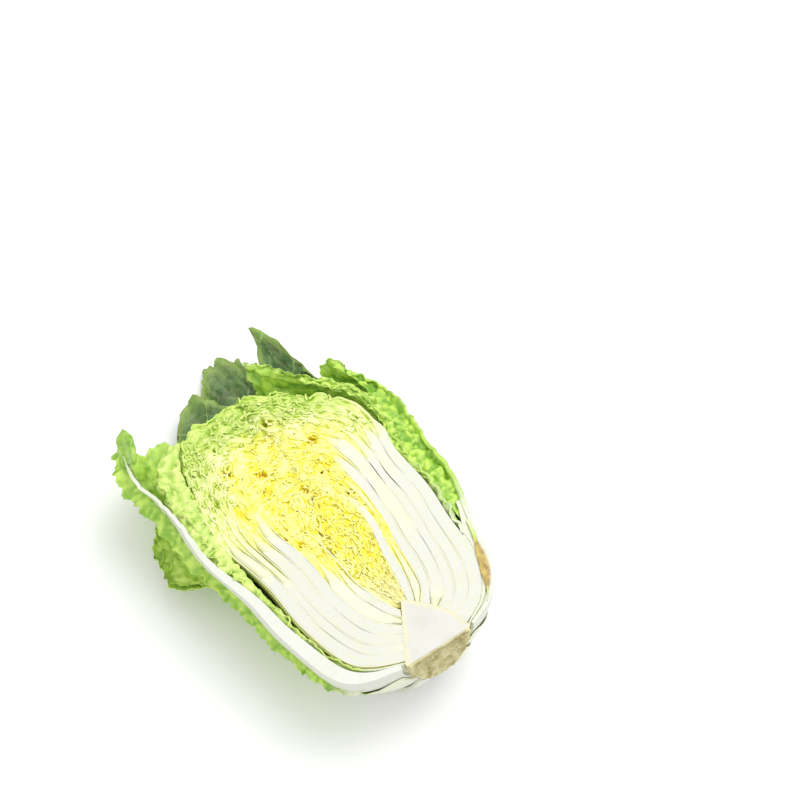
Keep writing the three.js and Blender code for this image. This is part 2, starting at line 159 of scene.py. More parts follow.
# The outer leaves from the innermost to the outermost, as in the solids. First and last are the
# steps of turn between which a leaf lies, open says how far it stands off at its foot, middle
# and tip, and ruffle is the height of its crinkles at the free margins and on the cut.
OUTER_FIELDS = ("node", "slot", "first", "last", "rib", "lean", "rib_thickness", "rib_spread", "tip",
                "drop", "roundness", "open", "tone", "ruffle")
OUTER_TABLE = [
    ("outer_leaf_left_frilled", "light_leaf", 0, 6, 38, 0, 2.2, 22, 0.93,
     0.14, 1.7, (0, 0.5, 0.28), 0.15, (3.0, 4.6)),
    ("outer_leaf_right_rimmed", "green_leaf", 8, 14, 160, 0, 2.2, 20, 1.0,
     0.2, 1.7, (0, 0.12, 0.3), 0.5, (3.4, 2.4)),
    ("outer_leaf_left_loose", "green_leaf", 0, 7, 0, 0, 11, 21, 0.98,
     0.13, 1.7, (0, 1, 1), 0.5, (3.6, 0.5)),
    ("outer_leaf_right_spread", "green_leaf", 8, 14, 172, 0, 4.2, 24, 0.89,
     0.1, 1.7, (0, 1, 1.05), 0.5, (4.2, 1.0)),
    ("outer_leaf_under_left", "dark_leaf", 2, 9, 62, 18, 3.6, 17, 0.95,
     0.18, 1.7, (0, 1, 1), 0.38, (4.4, 0)),
    ("outer_leaf_under_right", "dark_leaf", 7, 12, 121, 19, 3.4, 17, 0.985,
     0.3, 1.0, (0, 1, 1.04), 1.0, (3.4, 0)),
    ("outer_leaf_underneath", "dark_leaf", 5, 10, 84, 24, 5.4, 19, 0.975,
     0.14, 1.7, (0, 1, 1), 0.95, (3.4, 0)),
]
OUTER_LEAVES = [dict(zip(OUTER_FIELDS, row)) for row in OUTER_TABLE]
LEFT_FRILLED, RIGHT_RIMMED, LOOSE_LEAF, SPREAD_LEAF, UNDER_LEFT = range(5)

# ---------------- numbers and noise


def mix(a, b, t):
    """Straight line from a to b, as t goes from 0 to 1."""
    return a + (b - a) * t


def smoothstep(low, high, x):
    """0 up to low and 1 from high, and 3t^2 - 2t^3 of the share t of the way between them."""
    t = np.clip((x - low) / (high - low), 0, 1)
    return t * t * (3 - 2 * t)


def bell(x, spread):
    """1 at zero, falling off by the exponential of minus the square of x over spread."""
    return np.exp(-((x / spread) ** 2))


def hashed(ix, iy, iz, seed):
    """A number from 0 to 1 for each lattice point, by an integer hash of its place and seed."""
    h = (ix * 374761393 + iy * 668265263 + iz * 2147483629 + seed * 1274126177) & 0xFFFFFFFF
    h = ((h ^ (h >> 13)) * 1274126177) & 0xFFFFFFFF
    h = ((h ^ (h >> 16)) * 2246822519) & 0xFFFFFFFF
    return (h ^ (h >> 15)).astype(np.float64) / 0xFFFFFFFF


def corners(points, steps):
    """Each lattice point about the points' cells, after its steps from the cell's corner."""
    cell = np.floor(points).astype(np.int64)
    for step in itertools.product(steps, repeat=3):
        yield step, [cell[..., axis] + step[axis] for axis in range(3)]


def noise(points, seed):
    """Smooth noise from about -1 to 1: each lattice point has a random slope, and the slopes'
    planes are blended across the cell by the quintic 6t^5 - 15t^4 + 10t^3."""
    part = points - np.floor(points)
    fade = part**3 * (part * (part * 6 - 15) + 10)
    total = 0
    for step, corner in corners(points, (0, 1)):
        value, weight = 0, 1
        for axis in range(3):
            slope = 2 * hashed(*corner, seed + 31 * axis) - 1
            value = value + slope * (part[..., axis] - step[axis])
            weight = weight * (fade[..., axis] if step[axis] else 1 - fade[..., axis])
        total = total + weight * value
    return 1.6 * total


def crumple(points, size, seed):
    """Vector noise whose features are about size millimetres wide, from about -1 to 1."""
    return np.stack([noise(points / size, seed + 101 * axis) for axis in range(3)], axis=-1)


def layered(points, *layers):
    """Sum of noises, each given by its height, the size of its features and its seed."""
    return sum(height * noise(points / size, seed) for height, size, seed in layers)


def crumpled(points, *layers):
    """The same sum of vector noises."""
    return sum(height * crumple(points, size, seed) for height, size, seed in layers)


def drawn(count, each, key, seed):
    """Rows of random numbers from 0 to 1, by the same hash as the noise."""
    return hashed(np.arange(count)[:, None], np.arange(each)[None, :], np.array(key), seed)


def unit(vectors):
    """The vectors divided by their lengths."""
    return vectors / np.maximum(np.linalg.norm(vectors, axis=-1, keepdims=True), SMALLEST)


def places(x, y=0, z=0):
    """Points with the given coordinates."""
    return np.stack(np.broadcast_arrays(x, y, z), -1)


def grid(rows, columns):
    """Two parameters spread over a grid, each given by its values or as low, high, count."""
    spread = [np.linspace(*way) if isinstance(way, tuple) else way for way in (rows, columns)]
    return np.meshgrid(*spread, indexing="ij")


def cells(points, size, seed):
    """Distances, in cells, from each point to the nearest and the second nearest of points
    strewn one to a cell of the given size."""
    scaled = points / size
    nearest = np.full(points.shape[:-1], 9.0)
    second = nearest.copy()
    for _, corner in corners(scaled, (-1, 0, 1)):
        strewn = [corner[axis] + hashed(*corner, seed + 31 * axis) for axis in range(3)]
        distance = np.sqrt(sum((scaled[..., axis] - strewn[axis]) ** 2 for axis in range(3)))
        second = np.minimum(second, np.maximum(nearest, distance))
        nearest = np.minimum(nearest, distance)
    return nearest, second


# ---------------- the nested surfaces


def along(outline, reach):
    """Smooth curve through evenly spaced points (uniform Catmull-Rom), as radius and distance."""
    points = np.array(outline, float)
    last = len(points) - 1
    ends = 2 * points[0] - points[1], 2 * points[last] - points[last - 1]
    padded = np.concatenate([[ends[0]], points, [ends[1]]])
    place = np.clip(reach, 0, 1) * last
    index = np.minimum(np.floor(place).astype(int), last - 1)
    t = (place - index)[..., None]
    a, b, c, d = (padded[index + step] for step in range(4))
    curve = b + 0.5 * t * (c - a + t * (2 * a - 5 * b + 4 * c - d + t * (3 * (b - c) + d - a)))
    return curve[..., 0], curve[..., 1]


def surface_point(sides, reach, turn):
    """Point of a nested surface: the side's outline turned about the head's axis, going over
    into the outline underneath by the square of the turn's sine."""
    left, under, right = (along(side, reach) for side in sides)
    cos, sin = np.cos(turn), np.sin(turn)
    radius = mix(np.where(cos > 0, left[0], right[0]), under[0], sin**2)
    y = mix(np.where(cos > 0, left[1], right[1]), under[1], sin**2)
    return places(-radius * cos, y, CUT_HEIGHT - radius * sin)


def outward(reach, turn):
    """Unit direction in which the outer leaves are stacked."""
    radial, axial = along(STACKING, reach)
    return unit(places(-radial * np.cos(turn), axial, -radial * np.sin(turn)))


def bend(points):
    """The slow bends that run through all layers: a push in x that depends on y and depth,
    then one in y that depends on x and depth."""
    height = BEND_HEIGHT * smoothstep(*BEND_FROM, points[..., 1])
    wave = 2 * math.pi / BEND_LENGTH
    depth = CUT_HEIGHT - points[..., 2]
    x = points[..., 0] + height * np.sin(wave * points[..., 1] - depth / BEND_LEAN[0])
    y = points[..., 1] + height * np.sin(CROSS_BENDS * wave * x + depth / BEND_LEAN[1])
    return places(x, y, points[..., 2])


def head_leaf_angles():
    """Turn of each head leaf's rib: left and right in turns, leaning by a seeded draw."""
    state = 7
    angles = []
    for leaf in range(HEAD_LEAVES):
        state = (state * 1664525 + 1013904223) & 0xFFFFFFFF
        lean = RIB_LEAN * state / 4294967296
        angles.append(lean if leaf % 2 == 0 else HALF_TURN - lean)
    return angles


LEAF_ANGLES = head_leaf_angles()


def head_leaf_shares(leaf, reach, turn):
    """Where the faces of a head leaf lie on the line from the heart to the head's surface.
    All leaves share the line out by their thickness, the ribs swell to fill it, and what is
    left goes into the gaps. Gives inner and outer end, the two shares, the gap and the rib."""
    inner = surface_point(HEART, reach, turn)
    outer = surface_point(HEAD, reach, turn)
    room = np.linalg.norm(outer - inner, axis=-1)
    spread = mix(RIB_SPREAD_FOOT, RIB_SPREAD_TIP, np.sqrt(reach))
    fading = 1 - smoothstep(*RIB_FADE, reach)
    ribs = []
    for k in range(HEAD_LEAVES):
        full = mix(RIB_THICKNESS_INNER, RIB_THICKNESS_OUTER, k / (HEAD_LEAVES - 1))
        ribs.append(full * fading * bell(turn - LEAF_ANGLES[k], spread))
    total = np.sum(ribs, axis=0)
    spare = room - HEAD_LEAVES * (BLADE_THICKNESS + LEAF_GAP)
    swell = np.clip(spare / np.maximum(total, 1e-6), 0, RIB_STRETCH)
    gap = LEAF_GAP + np.maximum(0, spare - swell * total) / HEAD_LEAVES
    depth = gap / 2
    for k in range(leaf):
        depth = depth + BLADE_THICKNESS + swell * ribs[k] + gap
    rib = swell * ribs[leaf]
    faces = []
    for face in (depth, depth + BLADE_THICKNESS + rib):
        stay = np.clip(np.minimum(face, room - face) / 6.0, 0, 1)
        shift = noise(places(face / 9.0, 6.0 * reach, 1.5 * np.cos(turn)), 850)
        faces.append((face + RIB_SHIFT * stay * shift) / room)
    return inner, outer, faces[0], faces[1], gap, rib, room


# ---------------- outer leaves


def openness(leaf, reach):
    """How far a leaf of the outer set has left the head for the open surface."""
    foot, middle, tip = leaf["open"]
    opened = mix(foot, middle, smoothstep(*OPENS_FROM, reach))
    return mix(opened, tip, smoothstep(*TIP_OPENS_FROM, reach))


def outer_rib(leaf, reach, turn):
    """Thickness of an outer leaf's rib: thin at the foot, full at a quarter, then fading."""
    at_foot = mix(OUTER_RIB_FOOT, 1, smoothstep(0, OUTER_RIB_FULL, reach))
    to_tip = mix(1, OUTER_RIB_TIP, smoothstep(*OUTER_RIB_FADE, reach))
    middle = np.radians(leaf["rib"] + leaf["lean"] * reach)
    spread = math.radians(leaf["rib_spread"]) * mix(*OUTER_RIB_WIDTH, reach)
    return leaf["rib_thickness"] * at_foot * to_tip * bell(turn - middle, spread)


def coverage(leaf, turn):
    """1 where a leaf covers the turn, fading to 0 within one step beyond its margins."""
    steps = turn / math.radians(STEP_ANGLE)
    before = 1 if leaf["first"] == 0 else smoothstep(leaf["first"] - 1, leaf["first"], steps)
    after = 1 if leaf["last"] == TURN_STEPS else 1 - smoothstep(leaf["last"], leaf["last"] + 1, steps)
    return before * after


def outer_leaf_middle(index, reach, turn, lift):
    """Middle surface of an outer leaf: between head and open surface by its openness, and
    pushed outwards past all leaves before it in the list."""
    leaf = OUTER_LEAVES[index]
    gap = OUTER_GAP + TIP_GAP * smoothstep(*TIP_GAP_FROM, reach)
    swelling = np.sin(BLISTERS_ALONG * reach + 3 * np.cos(2 * turn)) * np.cos(BLISTERS_AROUND * turn)
    depth = gap + BLISTER_HEIGHT * smoothstep(*BLADE_FROM, reach) * (1 + swelling)
    opened = openness(leaf, reach)
    for other in OUTER_LEAVES[:index]:
        cover = coverage(other, turn)
        depth = depth + cover * (OUTER_BLADE + outer_rib(other, reach, turn) + gap)
        opened = np.maximum(opened, cover * openness(other, reach))
    thickness = OUTER_BLADE + outer_rib(leaf, reach, turn)
    head = surface_point(HEAD, reach, turn)
    apart = surface_point(OPEN, reach, turn)
    push = (depth + thickness / 2 + lift)[..., None]
    return bend(mix(head, apart, opened[..., None]) + outward(reach, turn) * push)


# ---------------- meshes

# How far the finished pieces may go, in the part's own frame.
RISES_TO = 2.3
LEFTMOST = -110.4
RIGHTMOST = 110.4
UP = np.array([0, 0, 1.0])
SHARP_RIB = 0.4

# The values that the points of a piece carry for its material.
HEAD_VALUES = ("rib", "stalk", "edge", "outside", "reach", "share")
OUTER_VALUES = ("rib", "edge", "tone", "across", "length", "blade", "vein", "crest", "worn")


def grid_normals(points, away):
    """Unit normals of a grid of points, turned to the side on which away points."""
    normals = unit(np.cross(np.gradient(points, axis=0), np.gradient(points, axis=1)))
    side = np.sign(np.sum(normals * away, axis=-1, keepdims=True))
    return normals * np.where(side == 0, 1, side)


def tiles(index):
    """Quads between neighbouring rows and columns of a grid of point numbers."""
    corners = index[:-1, :-1], index[:-1, 1:], index[1:, 1:], index[1:, :-1]
    return np.stack(corners, -1).reshape(-1, 4)


def filled(names, like, **given):
    """A value under each name for every point of a grid: the given one, or else 0."""
    return {name: given.get(name, 0) + 0 * like for name in names}


def shell(inner, outer, values, **sided):
    """Closed shell between two grids of points, with a wall all round, as points, quads and
    one value for each point under each name. A sided value differs between the two grids."""
    rows, columns = inner.shape[:2]
    index = np.arange(rows * columns).reshape(rows, columns)
    border = np.concatenate([index[0, :-1], index[:-1, -1], index[-1, :0:-1], index[:0:-1, 0]])
    following = np.roll(border, -1)
    wall = np.stack([border, following, following + rows * columns, border + rows * columns], -1)
    quads = np.concatenate([tiles(index)[:, [0, 3, 2, 1]], tiles(index + rows * columns), wall])
    points = np.concatenate([inner.reshape(-1, 3), outer.reshape(-1, 3)])
    pairs = {name: (value, value) for name, value in values.items()} | sided
    return points, quads, {name: np.concatenate([a.ravel(), b.ravel()]) for name, (a, b) in pairs.items()}


def sheet(points, half, values, away=UP):
    """Closed shell half a thickness to either side of a surface."""
    normals = grid_normals(points, away)
    return shell(points - half * normals, points + half * normals, values)


def signed_volume(points, quads):
    """Volume inside a closed shell, negative where its quads are turned inside out."""
    a, b, c, d = (points[quads[:, k]] for k in range(4))
    halves = np.einsum("ij,ij->", a, np.cross(b, c)) + np.einsum("ij,ij->", a, np.cross(c, d))
    return halves / 6


def add_object(name, data):
    """A new object in the scene, with the given mesh, light or camera."""
    made = bpy.data.objects.new(name, data)
    bpy.context.collection.objects.link(made)
    return made


def piece(name, shells, material, node, sharp=40):
    """Object at the origin made of closed shells, in metres, with the shells' values as point
    attributes. It stands for a node of the solids."""
    points, quads, values, start = [], [], {}, 0
    for shell_points, shell_quads, shell_values in shells:
        if signed_volume(shell_points, shell_quads) < 0:
            shell_quads = shell_quads[:, ::-1]
        points.append(shell_points)
        quads.append(shell_quads + start)
        start += len(shell_points)
        for key, value in shell_values.items():
            values.setdefault(key, []).append(value)
    points = np.concatenate(points)
    points[:, 2] = np.minimum(points[:, 2], CUT_HEIGHT + RISES_TO)
    points[:, 0] = np.clip(points[:, 0], LEFTMOST - ORIGIN_X, RIGHTMOST - ORIGIN_X)
    quads = np.concatenate(quads)
    placed = (points + [ORIGIN_X, ORIGIN_Y, 0]) * MILLIMETRE
    mesh = bpy.data.meshes.new(name)
    mesh.vertices.add(len(placed))
    mesh.vertices.foreach_set("co", placed.ravel())
    mesh.loops.add(quads.size)
    mesh.loops.foreach_set("vertex_index", quads.ravel())
    mesh.polygons.add(len(quads))
    mesh.polygons.foreach_set("loop_start", np.arange(0, quads.size, 4))
    mesh.update(calc_edges=True)
    for key, value in values.items():
        mesh.attributes.new(key, "FLOAT", "POINT").data.foreach_set("value", np.concatenate(value))
    mesh.validate()
    mesh.shade_smooth()
    mesh.set_sharp_from_angle(angle=math.radians(sharp))
    if "rib" in values:
        soften_blades(mesh, np.concatenate(values["rib"]))
    mesh.materials.append(material)
    made = add_object(name, mesh)
    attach(made, "root")
    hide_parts(node)
    return made


def soften_blades(mesh, rib):
    """Leaves only the ribs' edges sharp, so that the thin edges of the blades look rounded."""
    sharp = mesh.attributes.get("sharp_edge")
    if sharp is None:
        return
    edges = np.empty(2 * len(mesh.edges), np.int32)
    mesh.edges.foreach_get("vertices", edges)
    marked = np.empty(len(mesh.edges), bool)
    sharp.data.foreach_get("value", marked)
    ribbed = np.min(rib[edges.reshape(-1, 2)], axis=1) > SHARP_RIB
    sharp.data.foreach_set("value", marked & ribbed)


# ---------------- head leaves

EDGE_DEPTHS = [0, 0.8, 2.0, 4.0, 8.0, 16.0]
STRIP_COLUMNS = 5
TOP_REACH = 0.9999
ROW_LENGTH = 1.12
ROOTED_ROW_LENGTH = 3.2
CRINKLED_FROM = 0.14
FOOT_SUNK = 0.3
STRIP_SUNK = 1.5
FOLD_COLUMNS = 6
FOLD_DEPTH = 1.3
SEAM = 0.02
OPEN_SEAM = 0.09
RIB_SHIFT = 1.1
CRUMBS_PER_ROW = 0.5
INNER_LEAVES = 4
HEART_CRUMBS = 90
HEART_SHEETS = 8
HEART_SEED = 90
HEAD_RADII = (15, 74)

# Noises of the crinkled blades, each as height, size and seed, and how far the places of the
# noise move on from one leaf to the next, so that no two leaves look alike.
SWAY = (3.0, 13, 5)
FLOPS = ((2.6, 4.6, 260), (1.1, 2.3, 265))
CUT_RELIEF = ((0.8, 3.6, 290), (0.35, 1.9, 300))
FOLD_CRUMPLES = ((1.6, 5.0, 700), (0.7, 2.2, 710))
FOLD_DIPS = ((1.3, 4.4, 720), (0.6, 2.1, 730))
FLOOR_RELIEF = ((1.5, 4.5, 960), (0.7, 2.2, 961))
OWN_SHEET = 37.0
OWN_FOLD = 53.0

# How wide the change from full ribs to thin blades is, and how much earlier it starts.
PACKED_FADE = dict(width=11, early=9)
WHITE_FADE = dict(width=22, early=15)
RIBS_FADE = (28, 18)

# Shapes of the crumbs, each from the smallest to the largest draw.
CRUMB_LENGTH = (1.2, 3.6)
CRUMB_WIDTH = (0.6, 2.0)
CRUMB_CURL = (0.6, 2.4)
CRUMB_BOW = (-1.6, 1.6)
CRUMB_ROLL = (-1.3, 1.3)
CRUMB_PITCH = (-0.5, 0.5)
CRUMB_SUNK = (0.4, 1.8)

# Where the crinkled blades begin: half width of the heart's zone by distance along the head,
# and the distance above which the outer leaves have no rib left, on the left and the right.
ZONE_DISTANCE = [44, 60, 75, 92, 106, 150, 200, 222, 240]
ZONE_LEFT = [1, 8, 15, 22, 28, 46, 66, 78, 90]
ZONE_RIGHT = [1, 7, 12, 16, 26, 27, 34, 40, 60]
RIBS_END_LEFT = 186
RIBS_END_RIGHT = 214

# Ribs that reach on into the heart's zone, as leaf number and the distance where they end.
LONG_RIBS = {1: 156, 2: 104, 5: 190, 6: 182, 8: 150, 9: 200}

# Hollows in the crinkled blades, as place on the cut and radius.
HOLLOWS = [
    [-22.6, 197.5, 3.4], [-19.5, 192.5, 2.2], [23.9, 146.2, 2.6], [25.4, 121.9, 3.0], [-18.1, 112.8, 3.4],
    [-54.5, 147.3, 2.6], [11.8, 135.3, 2.2], [-33.3, 129.8, 2.2], [-65.2, 196.6, 3.0], [26.7, 199.0, 3.4],
    [-3.0, 168.0, 2.2], [2.0, 96.0, 2.4], [-42.0, 214.0, 2.6], [7.0, 232.0, 2.6],
]


def hollow(points):
    """1 in the middle of a hollow, falling to 0 about a radius away from it."""
    x, y = points[..., 0], points[..., 1]
    return sum(bell(np.hypot(x - at_x, 0.8 * (y - at_y)), radius) for at_x, at_y, radius in HOLLOWS)


def lumps(points):
    """Height of the lumps that run through all crinkled blades."""
    return 1.9 * noise(points / 8.0, 310) - 0.6


def turn_columns(radius, inside=5):
    """Turns of a leaf's columns: close together near the two edges of the cut, wide apart
    between them."""
    near = np.array(EDGE_DEPTHS) / radius
    near = near[near < 0.42 * HALF_TURN]
    between = np.linspace(near[-1], HALF_TURN - near[-1], inside + 2)[1:-1]
    return np.concatenate([near, between, HALF_TURN - near[::-1]])


def even_reaches(leaf):
    """Reaches whose rows lie about ROW_LENGTH apart on the cut face where the leaf is
    crinkled, and further apart below."""
    fine = np.linspace(0, TOP_REACH, 400)
    steps = []
    for turn in (0 * fine, 0 * fine + HALF_TURN):
        ends = surface_point(HEART, fine, turn), surface_point(HEAD, fine, turn)
        line = mix(*ends, (leaf + 0.5) / HEAD_LEAVES)
        steps.append(np.linalg.norm(np.diff(line, axis=0), axis=-1))
    wide = mix(ROOTED_ROW_LENGTH, ROW_LENGTH, smoothstep(0, 2 * CRINKLED_FROM, fine[1:]))
    rows = np.concatenate([[0], np.cumsum(np.max(steps, axis=0) / wide)])
    return np.interp(np.linspace(0, rows[-1], int(rows[-1]) + 2), rows, fine)


def looseness(points, leaf, width=5, early=0):
    """1 where the blade is thin and crinkled, 0 where ribs are packed: inside the heart's
    zone, and above the distance at which the ribs end. The change takes place over the given
    width, and starts earlier by the given distance."""
    radius = np.hypot(points[..., 0], CUT_HEIGHT - points[..., 2])
    left = smoothstep(20, -20, points[..., 0])
    y = points[..., 1]
    border = mix(np.interp(y, ZONE_DISTANCE, ZONE_RIGHT), np.interp(y, ZONE_DISTANCE, ZONE_LEFT), left)
    stray = 4 * noise(points / 22, 900) + 8 * noise(points / 34, 910 + leaf)
    inside = smoothstep(width, -width, radius - border + stray - early)
    if leaf in LONG_RIBS:
        inside = inside * smoothstep(LONG_RIBS[leaf] - 40 - early, LONG_RIBS[leaf], y)
    end = mix(RIBS_END_RIGHT, RIBS_END_LEFT, left) + 4 * stray - 3 * early
    return np.maximum(inside, smoothstep(end - RIBS_FADE[0], end + RIBS_FADE[1], y))


def packing(points, leaf):
    """1 where the ribs are full, falling to 0 a little before the crinkled zone begins."""
    return 1 - looseness(points, leaf, **PACKED_FADE)


def crinkled(base, away, loose, room, seed, settings):
    """The base surface moved by vector noise of four sizes where it is loose. Near the edge
    of the cut the crinkles flop sideways over each other, and the edge dips here and there."""
    deep = smoothstep(0, 5, CUT_HEIGHT - base[..., 2])
    height = settings.crinkle_height / MILLIMETRE
    own = base + OWN_SHEET * seed
    shift = crumpled(base, SWAY) + crumpled(
        own, ((0.9 * room)[..., None], 8, 200), (height, 4.6, 220), (0.45 * height, 2.4, 240)
    )
    flop = (1 - deep) * layered(own, *FLOPS)
    shift = shift + unit(away) * flop[..., None]
    dips = -1.9 * smoothstep(0.1, 0.75, noise(own / 7.0, 280))
    relief = lumps(base) + dips + layered(own, *CUT_RELIEF) - 4.5 * hollow(base)
    shift[..., 2] = shift[..., 2] * deep + relief * (1 - deep)
    return base + shift * loose[..., None]


def head_sheet(inner, outer, share, thickness, loose, room, seed, settings):
    """Crinkled sheet at the given share of the line between two surfaces. Its faces lie half
    the thickness to either side, along the line at the ribs and along the crinkled surface's
    normal at the blade."""
    away = outer - inner
    base = bend(mix(inner, outer, share[..., None]))
    middle = crinkled(base, away, loose, room, seed, settings)
    side = mix(unit(away), grid_normals(middle, away), loose[..., None])
    on_cut = np.abs(CUT_HEIGHT - inner[..., 2]) < 1e-6
    side[..., 2] = np.where(on_cut, 0, side[..., 2])
    half = 0.5 * thickness[..., None] * unit(side)
    return middle - half, middle + half


def head_leaf_shells(leaf, settings):
    """The leaf with its rib, and folds of its blade on both sides of it near the cut."""
    radius = mix(*HEAD_RADII, (leaf + 0.5) / HEAD_LEAVES)
    reaches = even_reaches(leaf)
    begun = reaches[reaches > CRINKLED_FROM]
    strip = np.array(EDGE_DEPTHS[:STRIP_COLUMNS]) / radius
    outermost = leaf == HEAD_LEAVES - 1
    shells = [leaf_shell(leaf, *grid(reaches, turn_columns(radius)), 0, leaf, settings)]
    shells.extend(head_crumb_shells(leaf, begun))
    for side, turns in enumerate((strip, HALF_TURN - strip)):
        for place in (-1,) if outermost else (-1, 1):
            seed = HEAD_LEAVES * (2 + side + place) + leaf
            shells.append(leaf_shell(leaf, *grid(begun, turns), place, seed, settings))
        if not outermost:
            shells.append(fold_shell(leaf, reaches[1:], side))
    return shells


def fold_shell(leaf, reaches, side):
    """A fold of the blade that bridges the way to the next leaf just under the cut: its
    columns go from this leaf to the next, and its depth is crumpled by noise."""
    reach, across = grid(reaches, (-0.15, 1.15, FOLD_COLUMNS))
    turn = np.full_like(reach, side * HALF_TURN)
    inner, outer, low, _, gap, rib, room = head_leaf_shares(leaf, reach, turn)
    place = low + (0.5 * BLADE_THICKNESS + across * (gap + BLADE_THICKNESS + rib)) / room
    flat = bend(mix(inner, outer, place[..., None]))
    loose, packed = looseness(flat, leaf), packing(flat, leaf)
    own = flat + OWN_FOLD * leaf
    sideways = crumpled(flat, SWAY) + crumpled(own, *FOLD_CRUMPLES)
    flat = flat + loose[..., None] * sideways * [1, 1, 0]
    arch = 0.8 * np.sin(math.pi * np.clip(across, 0, 1))
    dip = FOLD_DEPTH - arch + layered(own, *FOLD_DIPS)
    pit = 5 * smoothstep(0.68, 0.9, noise(flat / 8.0, 740)) + 7 * hollow(flat)
    flat[..., 2] = CUT_HEIGHT + loose * (lumps(flat) - pit) - np.maximum(0.2, dip) - 1.4 * packed
    values = filled(HEAD_VALUES, reach, stalk=0.5 * packed, outside=place, reach=reach, share=place)
    return shell(flat - [0, 0, 0.7], flat, values)


def head_crumb_shells(leaf, reaches):
    """Crumbs strewn along both edges of a head leaf, where it is crinkled."""
    count = int(CRUMBS_PER_ROW * len(reaches) * (2 if leaf < INNER_LEAVES else 1))
    draws = drawn(count, 3, leaf, 4242)
    reach = np.interp(draws[:, 0], np.linspace(0, 1, len(reaches)), reaches)
    turn = np.where(draws[:, 1] < 0.5, 0.0, HALF_TURN)
    inner, outer, low, high, gap, rib, room = head_leaf_shares(leaf, reach, turn)
    share = (low + high) / 2 + (draws[:, 2] - 0.5) * (gap + BLADE_THICKNESS + rib) / room
    centre = bend(mix(inner, outer, share[:, None]))
    kept = (looseness(centre, leaf) > 0.7) & (share < 0.97)
    return crumb_shells(centre[kept], reach[kept], share[kept], leaf)


def crumb_shells(centres, reaches, shares, seed):
    """Small curled bits of blade that lie crumpled in the cut at the given places, each with
    its own length, width, curl and direction."""
    draws = drawn(len(centres), 9, seed, 4243)
    u, w = grid((-1, 1, 6), (-1, 1, 4))
    shells = []
    for centre, reach, share, draw in zip(centres, reaches, shares, draws):
        half_length, half_width = mix(*CRUMB_LENGTH, draw[0]), mix(*CRUMB_WIDTH, draw[1])
        curl, bow = mix(*CRUMB_CURL, draw[2]), mix(*CRUMB_BOW, draw[3])
        local = places(
            half_length * u,
            half_width * w * (1 - 0.4 * u * u) + bow * u * u,
            curl * (0.4 * np.sin(2.6 * u + 6 * draw[4]) - 0.35 * w * w),
        )
        yaw, roll, pitch = 2 * math.pi * draw[5], mix(*CRUMB_ROLL, draw[6]), mix(*CRUMB_PITCH, draw[7])
        turned = np.array(Euler((roll, pitch, yaw)).to_matrix())
        points = centre - [0, 0, mix(*CRUMB_SUNK, draw[8])] + local @ turned.T
        outside = share + 0.3 * (draw[0] - 0.5)
        values = filled(HEAD_VALUES, u, edge=0.5, outside=outside, reach=reach, share=share)
        shells.append(sheet(points, 0.25, values))
    return shells


def leaf_shell(leaf, reach, turn, place, seed, settings):
    """One sheet of a head leaf: place is 0 for the leaf itself, and -1 or 1 for a fold of its
    blade inside or outside it, which sinks into the leaf where the rib begins. Where ribs are
    packed, they fill the room up to the thin blades between them."""
    inner, outer, low, high, gap, rib, room = head_leaf_shares(leaf, reach, turn)
    middle = (low + high) / 2
    straight = mix(inner, outer, middle[..., None])
    loose = looseness(straight, leaf)
    packed = packing(straight, leaf)
    white = 1 - looseness(straight, leaf, **WHITE_FADE)
    slot = gap + BLADE_THICKNESS + rib
    ribbed = (turn < HALF_TURN / 2) == (leaf % 2 == 0)
    seam = SEAM + OPEN_SEAM * smoothstep(0.1, 0.8, noise(straight / [6, 30, 20], 860 + leaf))
    full = (high - low) * room + np.where(ribbed, 2 * gap - seam, -SEAM)
    if place == 0:
        thickness = mix(1.2, full, packed)
        sunk = FOOT_SUNK * smoothstep(0.03, 0, reach)
    else:
        thickness = mix(0.3, 0.9, loose)
        middle = middle + place * loose * slot / 3 / room
        sunk = 0
    faces = head_sheet(inner, outer, middle, thickness, loose, slot / 3, seed, settings)
    for face in faces:
        face[..., 2] -= 0 if place == 0 else STRIP_SUNK * (1 - loose)
        face[..., 1] += 0.5 * sunk
        face[..., 0] -= np.sign(face[..., 0]) * sunk * smoothstep(0, 10, np.abs(face[..., 0]))
    edge = smoothstep(1.2, 0.0, CUT_HEIGHT - mix(inner, outer, middle[..., None])[..., 2])
    across = 0.5 * thickness / room
    values = dict(
        rib=np.where(ribbed, 1, 0.6) * smoothstep(0.0, 1.0, white) * (place == 0),
        stalk=np.where(ribbed, 1, 0.7) * smoothstep(0.0, 0.6, packed) * (place == 0),
        edge=edge,
        outside=middle,
        reach=reach,
    )
    return shell(faces[0], faces[1], values, share=(middle - across, middle + across))


# ---------------- heart and stem


def heart_shells(settings):
    """Nested crinkled sheets between the head's axis and the heart's surface, a fold of blade
    that closes the cut, and crumbs."""
    shells = []
    for k, share in enumerate(np.linspace(0.08, 0.98, HEART_SHEETS)):
        reach, turn = grid((0.02, TOP_REACH, 100), (0, HALF_TURN, 11))
        inner, outer = surface_point(AXIS, reach, turn), surface_point(HEART, reach, turn)
        loose = smoothstep(-0.1, 0.12, reach)
        outer = outer + (5.0 * share * loose)[..., None] * crumple(outer, 9.0, 950)
        inner = inner + (2.0 * loose)[..., None] * crumple(inner, 7.0, 951) * [1, 1, 0]
        on_cut = np.sin(turn) < SMALLEST
        outer[..., 2] = np.where(on_cut, CUT_HEIGHT, np.minimum(outer[..., 2], CUT_HEIGHT))
        at, thickness, room = (value + 0 * reach for value in (share, 0.6, 1.4))
        faces = head_sheet(inner, outer, at, thickness, loose, room, HEART_SEED + k, settings)
        edge = 0 * reach
        edge[:, (0, -1)] = 1
        shells.append(shell(*faces, filled(HEAD_VALUES, reach, edge=edge, reach=reach, share=share)))
    return [*shells, heart_floor(), *heart_crumb_shells()]


